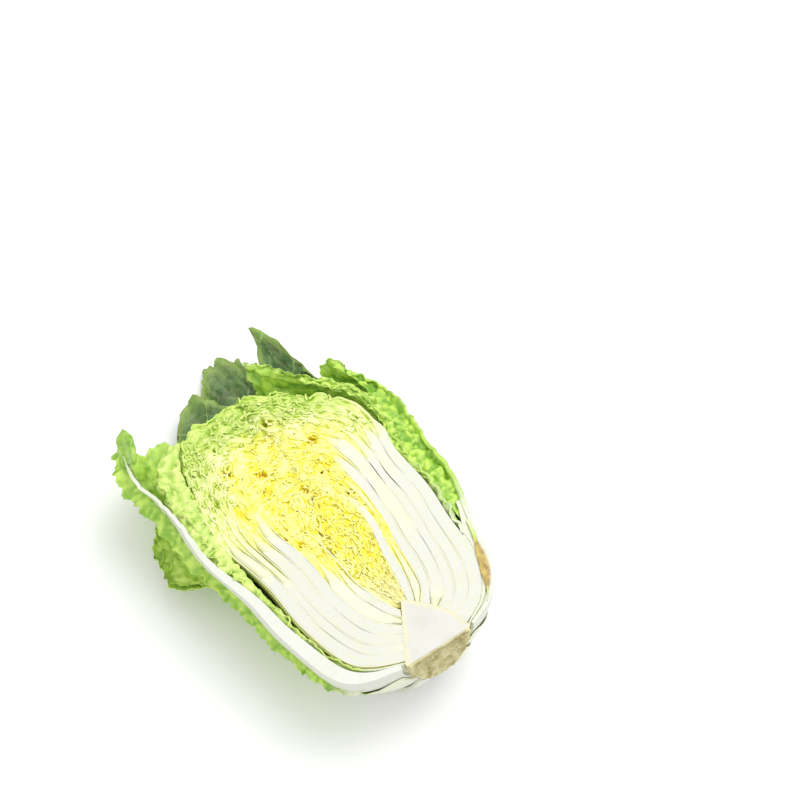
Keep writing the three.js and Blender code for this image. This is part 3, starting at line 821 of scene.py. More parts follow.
def heart_floor():
    """A crumpled fold of blade that closes the heart's cut a little way down."""
    reach, across = grid((0, 0.99, 90), (-1.05, 1.05, 22))
    radius, y = along(HEART_OUTLINE, reach)
    half = radius + 1.5 + 3 * smoothstep(80, 55, y)
    points = bend(places(across * half, y, CUT_HEIGHT - 1))
    points[..., 2] = CUT_HEIGHT - 2.2 + layered(points, *FLOOR_RELIEF)
    return shell(points - [0, 0, 0.6], points, filled(HEAD_VALUES, y, reach=reach))


def heart_crumb_shells():
    """Crumbs strewn evenly over the heart's cut."""
    draws = drawn(HEART_CRUMBS, 3, 0, 4244)
    reach = mix(0.12, 0.98, draws[:, 0])
    turn = np.where(draws[:, 1] < 0.5, 0.0, HALF_TURN)
    inner, outer = surface_point(AXIS, reach, turn), surface_point(HEART, reach, turn)
    centre = bend(mix(inner, outer, 1.1 * draws[:, 2, None]))
    return crumb_shells(centre, reach, 0 * reach, 4245)


# The stem's cut face as [half width, distance], from its point round to the middle of its end.
STEM_LEFT = [
    [0, 48.5], [3, 44], [11, 31.5], [19, 18.5], [27, 6], [30, -0.5], [27.5, -3.6], [14, -3.2], [0, -2.6],
]
STEM_RIGHT = [
    [0, 48.5], [5, 44.5], [14, 34.5], [22, 24], [27.5, 13], [29.5, 1], [27, -3.2], [14, -3.2], [0, -2.6],
]
STEM_END_SLANT = 0.16
STEM_ROWS = 110
STEM_COLUMNS = 41
STEM_FACE_COLUMNS = 21
STEM_RISE = 0.12
STEM_RIM_JAGS = ((1.3, 1, 2), (0.7, 1 / 2.4, 3))
STEM_END_RELIEF = ((1.5, 5.0, 3), (0.9, 2.2, 4), (0.4, 0.9, 5))
SCRAPS = 26
SCRAP_LENGTH = (3.5, 8.0)
SCRAP_WIDTH = (1.2, 3.4)
SCRAP_RADIUS = 27.0


def stem_rim(outline):
    """Half widths and distances of one side of the stem's rim, evenly spaced along it."""
    steps = np.linalg.norm(np.diff(outline, axis=0), axis=1)
    gone = np.concatenate([[0], np.cumsum(steps)])
    return [np.interp(np.linspace(0, gone[-1], STEM_ROWS), gone, side) for side in zip(*outline)]


def stem_skin():
    """The turned surface under the cut, with a jagged rim and a rough slanting end."""
    turn = np.linspace(0, HALF_TURN, STEM_COLUMNS)[None, :]
    over = (1 - np.cos(turn)) / 2
    left, right = stem_rim(STEM_LEFT), stem_rim(STEM_RIGHT)
    radius, y = (mix(a[:, None], b[:, None], over) for a, b in zip(left, right))
    jagged = places(y / 3.0, np.sign(np.cos(turn)))
    near_cut = bell(np.sin(turn), 0.2) * smoothstep(0, 6, radius)
    radius = radius + near_cut * layered(jagged, *STEM_RIM_JAGS)
    depth = radius * np.sin(turn)
    trimmed = smoothstep(2, -1, y)
    slanted = y - STEM_END_SLANT * depth * trimmed
    points = places(-radius * np.cos(turn), slanted, CUT_HEIGHT + STEM_RISE - depth)
    points[..., 1] += trimmed * layered(points, *STEM_END_RELIEF)
    ragged = trimmed * smoothstep(14, 27, radius)
    points[..., 2] -= ragged * np.abs(noise(points / 3.0, 6)) * 3.0 * np.sin(turn)
    return points


def stem_shells():
    """The stem as one closed solid, its skin and its flat cut face, and small scraps of the
    leaves trimmed off round its end."""
    points = stem_skin()
    rows, columns = points.shape[:2]
    share = np.linspace(0, 1, STEM_FACE_COLUMNS)[None, :, None]
    face = mix(points[:, :1], points[:, -1:], share)
    index = np.arange(rows * columns).reshape(rows, columns)
    face_index = rows * columns + np.arange(rows * STEM_FACE_COLUMNS).reshape(rows, -1)
    face_index[:, (0, -1)] = index[:, (0, -1)]
    quads = np.concatenate([tiles(index), tiles(face_index)[:, [0, 3, 2, 1]]])
    coordinates = np.concatenate([points.reshape(-1, 3), face.reshape(-1, 3)])
    widths = np.linalg.norm(points[:, 0] - points[:, -1], axis=-1)[:, None]
    to_rim = np.minimum(share, 1 - share)[..., 0] * widths
    inside = np.concatenate([np.zeros(rows * columns), to_rim.ravel()])
    fringe = smoothstep(5.5, 0.3, inside + 2.2 * noise(coordinates / 4.0, 12))
    end = smoothstep(0.5, -2.0, coordinates[:, 1])
    return [(coordinates, quads, dict(fringe=fringe, end=end)), *scrap_shells()]


def scrap_shells():
    """Small curved slips of torn leaf foot round the stem's end, each with its own length,
    width, lean and curl."""
    shells = []
    t, w = grid((0, 1, 9), (-1, 1, 4))
    for k, draw in enumerate(drawn(SCRAPS, 6, 0, 77)):
        turn = HALF_TURN * mix(0.02, 0.98, (k + draw[0]) / SCRAPS)
        length, width = mix(*SCRAP_LENGTH, draw[1]), mix(*SCRAP_WIDTH, draw[2])
        bearing = turn + w * width * (1 - 0.8 * t**2) / 56
        y = 4.0 - length * t + 1.5 * (draw[4] - 0.5) + 1.4 * np.sin(3 * t + 6 * draw[5])
        lift = 0.6 * np.sin(4 * t + 6 * draw[3]) + 0.4 * w**2
        radius = SCRAP_RADIUS + 1.2 * t + 1.2 * draw[3] + lift
        away = places(-np.cos(bearing), 0, -np.sin(bearing))
        points = away * radius[..., None] + places(0, y, CUT_HEIGHT - 0.4)
        values = dict(fringe=0.9 + 0 * y, end=0.5 * draw[2] + 0 * y)
        shells.append(shell(points - 0.3 * away, points + 0.3 * away, values))
    return shells


# ---------------- outer leaf shells

OUTER_ROWS = 150
OUTER_COLUMNS = 78
UNDER_COLUMNS = 58
ROW_DENSITY = [[0, 1], [0.25, 1], [0.35, 3], [0.7, 4], [1, 4.5]]
COLUMNS_GATHERED = 0.6
BLISTER_SIZE = 7.0
MARGIN_SHARE = 0.24
CORNER_DROP = 0.05
CUT_CORNER = 0.12
GREEN_RIB_FROM = (0.36, 0.5)
UNEVEN_END = 0.022
UNEVEN_END_UNDER = 0.012
CUT_RUFFLE_DEPTH = 16
LOWER_COVERED = 0.55
WAVES = ((15.0, 1.0), (7.0, 0.55), (3.6, 0.28))


def outer_leaf_grid(columns):
    """Rows closer together towards the tip, and columns gathered towards both margins."""
    fine = np.linspace(0, 1, 400)
    rows = np.cumsum(np.interp(fine, *zip(*ROW_DENSITY)))
    rows = (rows - rows[0]) / (rows[-1] - rows[0])
    even = np.linspace(0, 1, columns)
    gathered = even - COLUMNS_GATHERED / (2 * math.pi) * np.sin(2 * math.pi * even)
    return grid(np.interp(np.linspace(0, 1, OUTER_ROWS), rows, fine), gathered)


def waves(length, across, margin_way, seed):
    """Ruffles of three sizes, long towards the margin and short along it."""
    total = 0
    for size, height in WAVES:
        sides = noise(places(length / size, across / (2.5 * size), seed), 560)
        tips = noise(places(length / (2.5 * size), across / size, seed), 570)
        total = total + height * mix(sides, tips, margin_way)
    return total


def outer_leaf_outline(index, g, c):
    """Reach, step of turn and distance from the rib at each point of an outer leaf. Its end
    falls off to both sides of the rib, with lobes, teeth and rounded corners."""
    leaf = OUTER_LEAVES[index]
    step = mix(leaf["first"], leaf["last"], c)
    rib_step = (leaf["rib"] + leaf["lean"]) / STEP_ANGLE
    sideways = np.abs(step - rib_step) / max(rib_step - leaf["first"], leaf["last"] - rib_step)
    lobes = noise(places(0, index * 9.1, step * 1.7), 500 + index)
    teeth = noise(places(0, index * 9.1, step * 7.0), 520 + index)
    uneven = UNEVEN_END if index < UNDER_LEFT else UNEVEN_END_UNDER
    end = leaf["tip"] - leaf["drop"] * sideways ** leaf["roundness"] + uneven * lobes + 0.004 * teeth
    corner = 1 - smoothstep(0, CUT_CORNER, np.minimum(c, 1 - c))
    end = end - CORNER_DROP * (sideways**9 + corner)
    beyond = (g - SHARED_REACH) / (1 - SHARED_REACH)
    return np.where(g <= SHARED_REACH, g, mix(SHARED_REACH, end, beyond)), step, sideways


def ruffle_lift(index, reach, turn, rib, blade, near_side, near_tip):
    """How far an outer leaf is lifted off its middle surface: by ruffles at its free margins,
    which are lower where later leaves cover it, and by crinkles along the cut. Gives the
    depth under the cut as well."""
    ruffle, cut_ruffle = OUTER_LEAVES[index]["ruffle"]
    flat = outer_leaf_middle(index, reach, turn, 0 * reach)
    depth = CUT_HEIGHT - flat[..., 2]
    covers = [coverage(other, turn) for other in OUTER_LEAVES[index + 1:]]
    lower = mix(1, LOWER_COVERED, np.max(covers or [0 * turn], axis=0))
    wave = waves(LEAF_LENGTH * reach, LEAF_RADIUS * turn, near_tip * (1 - near_side), 3.1 * index)
    lift = ruffle * lower * np.maximum(near_side, near_tip) * blade * (0.35 + 1.5 * wave)
    at_cut = smoothstep(CUT_RUFFLE_DEPTH, 0, depth) * smoothstep(0.2, 0.4, reach)
    at_cut = at_cut * (1 - smoothstep(1, 4, rib))
    folded = layered(flat, (1, 8.0, 580 + index), (0.5, 3.8, 590 + index))
    return lift + cut_ruffle * at_cut * (0.45 + 1.5 * folded), depth


def outer_leaf_shell(index, settings):
    """The sheet of an outer leaf: its middle surface with blisters between veins, ruffled
    margins and a ragged outline, and half its thickness to either side of that."""
    leaf = OUTER_LEAVES[index]
    g, c = outer_leaf_grid(OUTER_COLUMNS if index < UNDER_LEFT else UNDER_COLUMNS)
    reach, step, sideways = outer_leaf_outline(index, g, c)
    free = (leaf["first"] > 0, leaf["last"] < TURN_STEPS)
    side_low = free[0] * smoothstep(MARGIN_SHARE, 0.0, c)
    side_high = free[1] * smoothstep(1 - MARGIN_SHARE, 1.0, c)
    ragged = 0.2 * noise(places(g * 11, index, 0.5), 540 + index)
    ragged = ragged + 0.09 * noise(places(g * 34, index, 0.5), 550)
    step = step + ragged * (side_low - side_high) * smoothstep(0.1, 0.3, reach)
    turn = np.radians(step * STEP_ANGLE)
    rib = outer_rib(leaf, reach, turn)
    near_side, near_tip = np.maximum(side_low, side_high), smoothstep(0.74, 1, g)
    margin = np.maximum(near_side, near_tip)
    green = smoothstep(*BLADE_FROM, reach + 0.25 * smoothstep(0.25, 1, sideways))
    blade = green * (1 - smoothstep(0.6, 2.0, rib))
    lift, depth = ruffle_lift(index, reach, turn, rib, blade, near_side, near_tip)
    lobe = lobe_push(index, reach, c)
    base = outer_leaf_middle(index, reach, turn, lift)
    base = base + places(lean_out(index, reach, depth) - lobe, 0, -LOBE_DROOP * lobe)

    thickness = mix(0.9, OUTER_BLADE, smoothstep(0.1, 1, rib)) + rib
    thickness = mix(thickness, 0.7, margin * (rib < 1))
    whitish = smoothstep(0.25, 1.5, rib)
    if index == SPREAD_LEAF:
        whitish = whitish * (1 - smoothstep(*GREEN_RIB_FROM, reach))
    if index == LOOSE_LEAF:
        blade = blade * smoothstep(0, 9, depth)
        thickness = np.maximum(thickness, 2.6 * smoothstep(8, 0, depth) * smoothstep(1.0, 0.93, g))
        whitish = np.maximum(whitish, 0.9 * smoothstep(3.4, 1.2, depth) * smoothstep(0.99, 0.9, g))
    nearest, second = cells(base, BLISTER_SIZE, 600)
    domes = settings.blister_height / MILLIMETRE * (0.6 - nearest**2) * blade
    away = outward(reach, turn)
    base = base - grid_normals(base, away) * domes[..., None]
    wrinkled = blade * (0.6 + 0.4 * margin)
    base = base + wrinkled[..., None] * crumpled(base, (1.5, 5.5, 640 + index), (0.6, 2.8, 650 + index))
    normals = grid_normals(base, away)
    for column in [0] * (not free[0]) + [-1] * (not free[1]):
        normals[:, column, 2] = 0
        torn = layered(base[:, column], (1.6, 5.0, 660 + index), (0.7, 2.2, 670))
        base[:, column, 2] = CUT_HEIGHT + blade[:, column] * (torn - 0.3)
    half = 0.5 * thickness[..., None] * unit(normals)
    inner, outer = (np.maximum(base + side * half, [-np.inf, -np.inf, 0]) for side in (-1, 1))

    # Darker tone at some tips, painted shade in the loose leaf's hollow, and the worn brown edge.
    tip_tone_and_painted_shade, worn = marks_and_painted_shade(index, reach, turn)
    values = dict(
        rib=whitish,
        edge=np.maximum(smoothstep(0.965, 1.0, g), smoothstep(0.47, 0.5, np.abs(c - 0.5))),
        tone=leaf["tone"] + tip_tone_and_painted_shade,
        across=(turn - np.radians(leaf["rib"] + leaf["lean"] * reach)) * VEIN_RADIUS,
        length=LEAF_LENGTH * reach,
        blade=green,
        vein=smoothstep(0.3, 0.0, second - nearest),
        # Painted highlight in the middle of each blister, painted shade towards the veins between them.
        crest=smoothstep(0.95, 0.25, nearest) * blade + 0.5 * (1 - blade),
    )
    return shell(inner, outer, values, worn=(worn, 0 * worn))


def outer_leaf_shells(index, settings):
    """An outer leaf and the lobe, frill, tip and folds that belong to it."""
    shells = [outer_leaf_shell(index, settings)]
    if index == UNDER_LEFT:
        shells.append(lobe_blisters())
    if index == LOOSE_LEAF:
        shells.extend([loose_leaf_frill(), loose_leaf_ear()])
    for band in FOLD_BANDS:
        if band["leaf"] == index:
            shells.extend(fold_band_shells(band))
    return shells


def marks_and_painted_shade(index, reach, turn):
    """How much darker some leaves are in places, and how worn their edge is: painted shade in the
    hollow inside the loose left leaf's tip, the darker tip of the left leaf underneath, and the
    brown, dried part of the right leaf's edge low on the cut."""
    tip_tone_and_painted_shade = worn = 0 * reach
    if index == LOOSE_LEAF:
        # Painted shade: the hollow inside the loose leaf's tip is darkened as if in shade.
        tip_tone_and_painted_shade = 0.5 * bell(reach - 0.9, 0.05) * bell(turn - 0.12, 0.14)
    elif index == UNDER_LEFT:
        tip_tone_and_painted_shade = 0.57 * smoothstep(0.78, 0.88, reach)
    elif index == SPREAD_LEAF:
        worn = bell(reach - 0.23, 0.085) * smoothstep(HALF_TURN - 0.16, HALF_TURN - 0.02, turn)
    return tip_tone_and_painted_shade, worn


LEAN_OUT = 7.0
LOBE_FLARE = 30
LOBE_WAY = np.array([-0.3, 0, 1.0])
LOBE_ROWS = 120
LOBE_COLUMNS = 34
LOBE_LIFT = 5.0
LOBE_RELIEF = ((2.8, 7.0, 886), (1.7, 3.6, 887), (0.6, 1.8, 888))


def lean_out(index, reach, depth):
    """How far the right leaf's blade leans out further near the cut, at its middle reaches."""
    return (index == SPREAD_LEAF) * LEAN_OUT * bell(reach - 0.54, 0.23) * smoothstep(45, 0, depth)


def lobe_push(index, reach, c):
    """How far the lobe of the left leaf underneath is pushed out of the leaf's surface."""
    pushed = (index == UNDER_LEFT) * LOBE_FLARE * smoothstep(0.16, 0.0, c)
    return pushed * bell(reach - LOBE_REACH, LOBE_SPREAD)


def lobe_blisters():
    """The puckered upper side of the lobe of the left leaf underneath: a sheet that lies just
    above the leaf near its margin and is raised along its normals by noise of three sizes."""
    leaf = OUTER_LEAVES[UNDER_LEFT]
    r, w = grid((LOBE_REACH - 0.17, LOBE_REACH + 0.16, LOBE_ROWS), (0, 1, LOBE_COLUMNS))
    fade = smoothstep(1.0, 0.7, np.abs(r - LOBE_REACH) / 0.165)
    ragged = 0.02 * noise(places(LEAF_LENGTH * r / 8), 885)
    c = 0.19 * w + ragged * (1 - w)
    turn = np.radians(mix(leaf["first"], leaf["last"], c) * STEP_ANGLE)
    push = lobe_push(UNDER_LEFT, r, c)
    points = outer_leaf_middle(UNDER_LEFT, r, turn, -LOBE_LIFT * fade)
    points = points - places(push, 0, LOBE_DROOP * push)
    relief = layered(points, *LOBE_RELIEF)
    points = points + grid_normals(points, LOBE_WAY) * (fade * relief)[..., None]
    points = points + (1.4 * fade)[..., None] * crumple(points, 4.2, 889)
    points[..., 2] = np.maximum(points[..., 2], 1.0)
    values = filled(
        OUTER_VALUES, r, edge=smoothstep(0.1, 0, w), tone=0.3, across=20 + 20 * w,
        # Painted highlight: the crest value starts at a half, so the whole lobe is painted paler as if lit,
        # and paler still where its relief rises.
        length=LEAF_LENGTH * r, blade=1, crest=0.5 + smoothstep(-2, 2, relief),
    )
    return sheet(points, 0.3, values, LOBE_WAY)


# Crumpled folds under the cut beside an outer leaf: its index, their turn, the reaches between
# which they lie and over which they grow, their width in millimetres and how far they go
# inwards, their tone, how deep they lie, how many layers there are, the share of their width
# left at the end, how worn and how strongly crumpled they are, and how much is blade.
BAND_FIELDS = ("leaf", "turn", "start", "end", "grow", "width", "inwards", "tone", "deep", "layers",
               "left_over", "worn", "relief", "blade")
AT_LEFT, AT_RIGHT = 0.02, HALF_TURN - 0.02
FOLD_BANDS = [dict(zip(BAND_FIELDS, row)) for row in (
    (LEFT_FRILLED, AT_LEFT, 0.33, 0.9, 0.25, 7.5, 10.0, 0.18, 1.2, 2, 0.4, 0, 1, 1),
    (RIGHT_RIMMED, AT_RIGHT, 0.3, 0.9, 0.25, 8.0, 2.0, 0.3, 2.2, 2, 0.4, 0, 1, 1),
    (SPREAD_LEAF, AT_RIGHT, 0.33, 0.86, 0.2, 0.5, 9.0, 0.4, 3.0, 1, 0.4, 0, 1, 1),
    (SPREAD_LEAF, AT_RIGHT, 0.1, 0.38, 0.12, 0.2, 5.5, 0.2, -0.6, 1, 0.0, 1, 0.15, 1),
    (SPREAD_LEAF, AT_RIGHT, 0.02, 0.43, 0.03, 0.5, 9.0, 0.0, 0.9, 1, 0.0, 0, 0.1, 0),
)]
BAND_ROWS = 150
BAND_COLUMNS = 13
BAND_RAGS = ((0.6, 1, 868), (0.3, 1 / 3, 869), (0.25, 1 / 6, 877))
BAND_CRUMPLES = ((2.2, 7.0, 870), (1.2, 3.4, 871))
BAND_RELIEF = ((3.0, 5.5, 873), (1.7, 2.8, 874))
OWN_LAYER = 71.0


def fold_band_shells(band):
    """Layers of folds that reach from an outer leaf outwards just under the cut, each waved
    and raised by its own noise."""
    start, end = band["start"], band["end"]
    shells = []
    for k in range(band["layers"]):
        reach, across = grid((start, end, BAND_ROWS), (-0.1, 1, BAND_COLUMNS))
        shrink = (1 - band["left_over"]) * smoothstep(end - 0.12, end, reach)
        risen = smoothstep(start, start + band["grow"], reach)
        grown = risen * (1 - shrink)
        ribbon = places(LEAF_LENGTH * reach / 12, 0, k)
        width = grown * band["width"] * (1 + layered(ribbon, *BAND_RAGS))
        inwards = band["inwards"] * (grown if band["leaf"] == SPREAD_LEAF else smoothstep(0.48, 0.66, reach))
        away = across * (width + inwards) - inwards
        points = outer_leaf_middle(band["leaf"], reach, band["turn"] + 0 * reach, away)
        points[..., 0] += lean_out(band["leaf"], reach, 0 * reach) * smoothstep(0, 1, across)
        own = points + OWN_LAYER * k
        loose = (grown * band["relief"])[..., None] * [1, 1, 0]
        points = points + loose * crumpled(own, *BAND_CRUMPLES)
        raised = band["relief"] * layered(own, *BAND_RELIEF)
        sag = 9 * across**2 * (0.3 + 0.3 * k)
        z = CUT_HEIGHT - band["deep"] - 1.3 * k + risen * raised - sag
        points[..., 2] = np.minimum(z, CUT_HEIGHT + 1.2)
        values = filled(
            OUTER_VALUES, reach, tone=band["tone"], across=8 + across * 10, length=LEAF_LENGTH * reach,
            blade=band["blade"] * (0.3 + 0.7 * grown), worn=band["worn"] * grown,
            # Painted highlight where the folds are raised, painted shade where they dip.
            crest=smoothstep(-1.5, 1.5, raised),
        )
        shells.append(sheet(points, 0.3, values))
    return shells


EAR_FOOT = np.array([-98.0, 262.0, -3.0])
EAR_TIP = np.array([-85.0, 291.0, -1.0])
EAR_HALF_WIDTH = 7.0
EAR_SIDE = np.array([0.85, -0.38, 0.36])


def loose_leaf_ear():
    """The small rounded tip at the end of the loose left leaf, curled along its middle."""
    t, w = grid((0.02, 1, 26), (-1, 1, 14))
    half = EAR_HALF_WIDTH * np.sqrt(np.maximum(0.02, 1 - np.abs(1.9 * t - 0.9) ** 3))
    points = mix(EAR_FOOT, EAR_TIP, t[..., None]) + EAR_SIDE * (half * w)[..., None]
    points[..., 2] += CUT_HEIGHT - 3.0 * w**2 + 1.6 * np.sin(5 * t)
    points = points + 0.9 * crumple(points, 5.0, 880)
    values = filled(
        OUTER_VALUES, t, rib=0.4 * bell(w, 0.1) * (1 - t), edge=smoothstep(0.8, 1, np.abs(w)), tone=0.66,
        across=8 * w, length=10 * t, blade=1, crest=0.5 + 0.5 * noise(points / 4, 881),
    )
    return sheet(points, 0.4, values)


FRILL_ROWS = 260
FRILL_COLUMNS = 12
FRILL_WIDTH = [[0.1, 0], [0.2, 5], [0.45, 7], [0.62, 8], [0.75, 10], [0.88, 12], [0.96, 9], [1, 3]]
FRILL_TURN = [[0, 0.24], [0.5, 0.2], [0.8, 0.1], [1, 0.05]]
FRILL_SLOPE = 0.5
FRILL_WAVE = 6.0
FRILL_SWAY = 3.5
FRILL_RAGS = ((0.45, 1, 810), (0.2, 1 / 3, 811))


def loose_leaf_frill():
    """The crinkled margin outside the loose left leaf's rib: a ribbon that springs from the
    rib's flank, widens to FRILL_WIDTH and waves up and down ever more towards its margin."""
    leaf = OUTER_LEAVES[LOOSE_LEAF]
    reach, w = grid((0.12, 0.99 * leaf["tip"], FRILL_ROWS), (0, 1, FRILL_COLUMNS))
    width, start = (np.interp(reach, *zip(*curve)) for curve in (FRILL_WIDTH, FRILL_TURN))
    root = outer_leaf_middle(LOOSE_LEAF, reach, start, 0.4 * outer_rib(leaf, reach, start))
    length = LEAF_LENGTH * reach
    width = width * (1 + layered(places(length / 9), *FRILL_RAGS))
    ribbon = places(length, 5 * w)
    wave = noise(ribbon / [7, 10, 1], 820) + 0.55 * noise(ribbon / [3.5, 6, 1], 821)
    grown = w * np.minimum(1, width / 6.0)
    points = root + outward(reach, start) * (w * width)[..., None]
    points[..., 2] += -FRILL_SLOPE * w * width + FRILL_WAVE * grown * wave
    points[..., 1] += FRILL_SWAY * grown * noise(ribbon / [8, 9, 1] + 5, 830)
    points = points + (0.2 + 0.8 * w)[..., None] * 0.6 * crumple(points, 4.0, 840)
    values = filled(
        OUTER_VALUES, w, edge=smoothstep(0.85, 1, w), tone=0.34, across=20 + 20 * w,
        length=length, blade=smoothstep(0.12, 0.4, reach),
        # Painted highlight where the frill waves up, painted shade where it dips, mottled by noise.
        crest=smoothstep(-0.6, 0.6, 0.6 * wave + 0.7 * noise(points / 4.0, 841)),
    )
    return sheet(points, 0.35, values)


# ---------------- materials


def linear(colour):
    """Linear RGBA of an sRGB colour given as 0 to 255."""
    part = np.array(colour) / 255
    value = np.where(part <= 0.04045, part / 12.92, ((part + 0.055) / 1.055) ** 2.4)
    return (*value, 1.0)


class Value:
    """A number or colour that a material's nodes work out, to be written as in a formula."""

    def __init__(self, nodes, socket):
        self.nodes = nodes
        self.socket = socket

    def __add__(self, other):
        return self.nodes.math("ADD", self, other)

    def __sub__(self, other):
        return self.nodes.math("SUBTRACT", self, other)

    def __rsub__(self, other):
        return self.nodes.math("SUBTRACT", other, self)

    def __mul__(self, other):
        return self.nodes.math("MULTIPLY", self, other)


class Nodes:
    """A short way to write a material's nodes."""

    def __init__(self, name, roughness, subsurface, scatter=(1.0, 1.0, 0.4), reach=0.004):
        self.material = bpy.data.materials.new(name)
        self.material.use_nodes = True
        self.tree = self.material.node_tree
        self.shader = self.tree.nodes["Principled BSDF"]
        self.shader.inputs["Roughness"].default_value = roughness
        self.shader.inputs["Subsurface Weight"].default_value = subsurface
        self.shader.inputs["Subsurface Radius"].default_value = scatter
        self.shader.inputs["Subsurface Scale"].default_value = reach

    def node(self, kind, output, inputs, **settings):
        """Adds a node with the given settings, sets or links its inputs, and gives an output.
        A colour is written as three numbers from 0 to 255."""
        node = self.tree.nodes.new("ShaderNode" + kind)
        for name, setting in settings.items():
            setattr(node, name, setting)
        for name, given in inputs.items():
            if isinstance(given, Value):
                self.tree.links.new(given.socket, node.inputs[name])
            else:
                node.inputs[name].default_value = linear(given) if isinstance(given, tuple) else given
        return Value(self, node.outputs[output])

    def value(self, name):
        """The points' value under a name."""
        return self.node("Attribute", "Fac", {}, attribute_name=name)

    def place(self):
        """The point's place on the object, in metres."""
        return self.node("TexCoord", "Object", {})

    def along(self, axis, low, high):
        """0 below the lower and 1 above the upper place on an axis, both in millimetres."""
        part = self.node("SeparateXYZ", axis, {0: self.place()})
        return self.spread(part, low * MILLIMETRE, high * MILLIMETRE)

    def noise(self, scale, detail=3.0, rough=0.55, vector=None):
        """Noise from 0 to 1 with about scale features to a metre."""
        inputs = {"Scale": scale, "Detail": detail, "Roughness": rough, "Vector": vector or self.place()}
        return self.node("TexNoise", "Fac", inputs)

    def math(self, kind, a, b=0.5):
        """One step of reckoning with one or two numbers."""
        return self.node("Math", 0, {0: a, 1: b}, operation=kind)

    def spread(self, fac, low, high, to_low=0.0, to_high=1.0):
        """Smooth step from one number to another as fac goes from low to high."""
        inputs = {"Value": fac, "From Min": low, "From Max": high, "To Min": to_low, "To Max": to_high}
        return self.node("MapRange", "Result", inputs, interpolation_type="SMOOTHSTEP")

    def mix(self, a, b, fac):
        """Blend from colour a to colour b as fac goes from 0 to 1."""
        return self.node("Mix", 2, {0: fac, 6: a, 7: b}, data_type="RGBA")

    def combine(self, x, y):
        """A place on a flat pattern."""
        return self.node("CombineXYZ", 0, {0: x, 1: y})

    def veins(self, vector, scale):
        """Distance to the nearest wall between cells strewn over a pattern."""
        inputs = {"Scale": scale, "Vector": vector}
        return self.node("TexVoronoi", "Distance", inputs, feature="DISTANCE_TO_EDGE")

    def finish(self, colour, height, strength, distance):
        """Gives the shader its colour and its bumps, and returns the material."""
        inputs = {"Strength": strength, "Distance": distance, "Height": height}
        self.tree.links.new(self.node("Bump", 0, inputs).socket, self.shader.inputs["Normal"])
        self.tree.links.new(colour.socket, self.shader.inputs["Base Color"])
        return self.material


def head_material():
    """Leaves of the closed head: yellow inside, pale green outside and at the top, with a painted
    highlight on their crests, painted shade lower down and ochre painted shade deep in the cut,
    with white ribs that have fine fibres."""
    n = Nodes("head leaf", 0.5, 0.15, (1.0, 1.0, 0.35), 0.002)
    rib, stalk, edge, outside, reach, share = (n.value(name) for name in HEAD_VALUES)
    ripe = outside + (n.noise(45, 2.0) - 0.5) * 0.6
    # Painted light: paler towards the top of the cut as a painted highlight on the crests, darker lower down
    # as painted shade, mottled by noise.
    crest = n.along("Z", CUT_HEIGHT - 3.0, CUT_HEIGHT + 1.2) + (n.noise(260) - 0.5) * 1.6
    yellow = n.mix((250, 240, 52), (255, 253, 166), crest)
    # Painted shade: ochre where the blades lie deep in the cut, for the shade in its crevices.
    yellow = n.mix((236, 184, 52), yellow, n.along("Z", CUT_HEIGHT - 5.0, CUT_HEIGHT - 1.8))
    pale = n.mix((212, 228, 84), (252, 253, 200), crest)
    green = n.mix((132, 184, 34), (212, 236, 108), crest)
    blade = n.mix(yellow, pale, n.spread(ripe, 0.42, 0.85))
    blade = n.mix(blade, green, n.spread(reach, 0.6, 0.95) * n.spread(outside, 0.55, 1.0) * 0.9)
    blade = n.mix(blade, (240, 234, 170), n.along("Y", ORIGIN_Y + 92, ORIGIN_Y + 56) * 0.8)
    blade = n.mix(blade, (236, 236, 190), stalk * 0.85)
    fibres = n.noise(1.0, 3.0, 0.6, n.combine(share * 60, reach * 7))
    white = n.mix((213, 213, 206), (212, 214, 190), n.spread(fibres, 0.42, 0.62))
    white = n.mix((226, 222, 170), white, n.spread(edge, 0.0, 0.7))
    return n.finish(n.mix(blade, white, rib), n.noise(900, 4.0), 0.25, 0.0006)


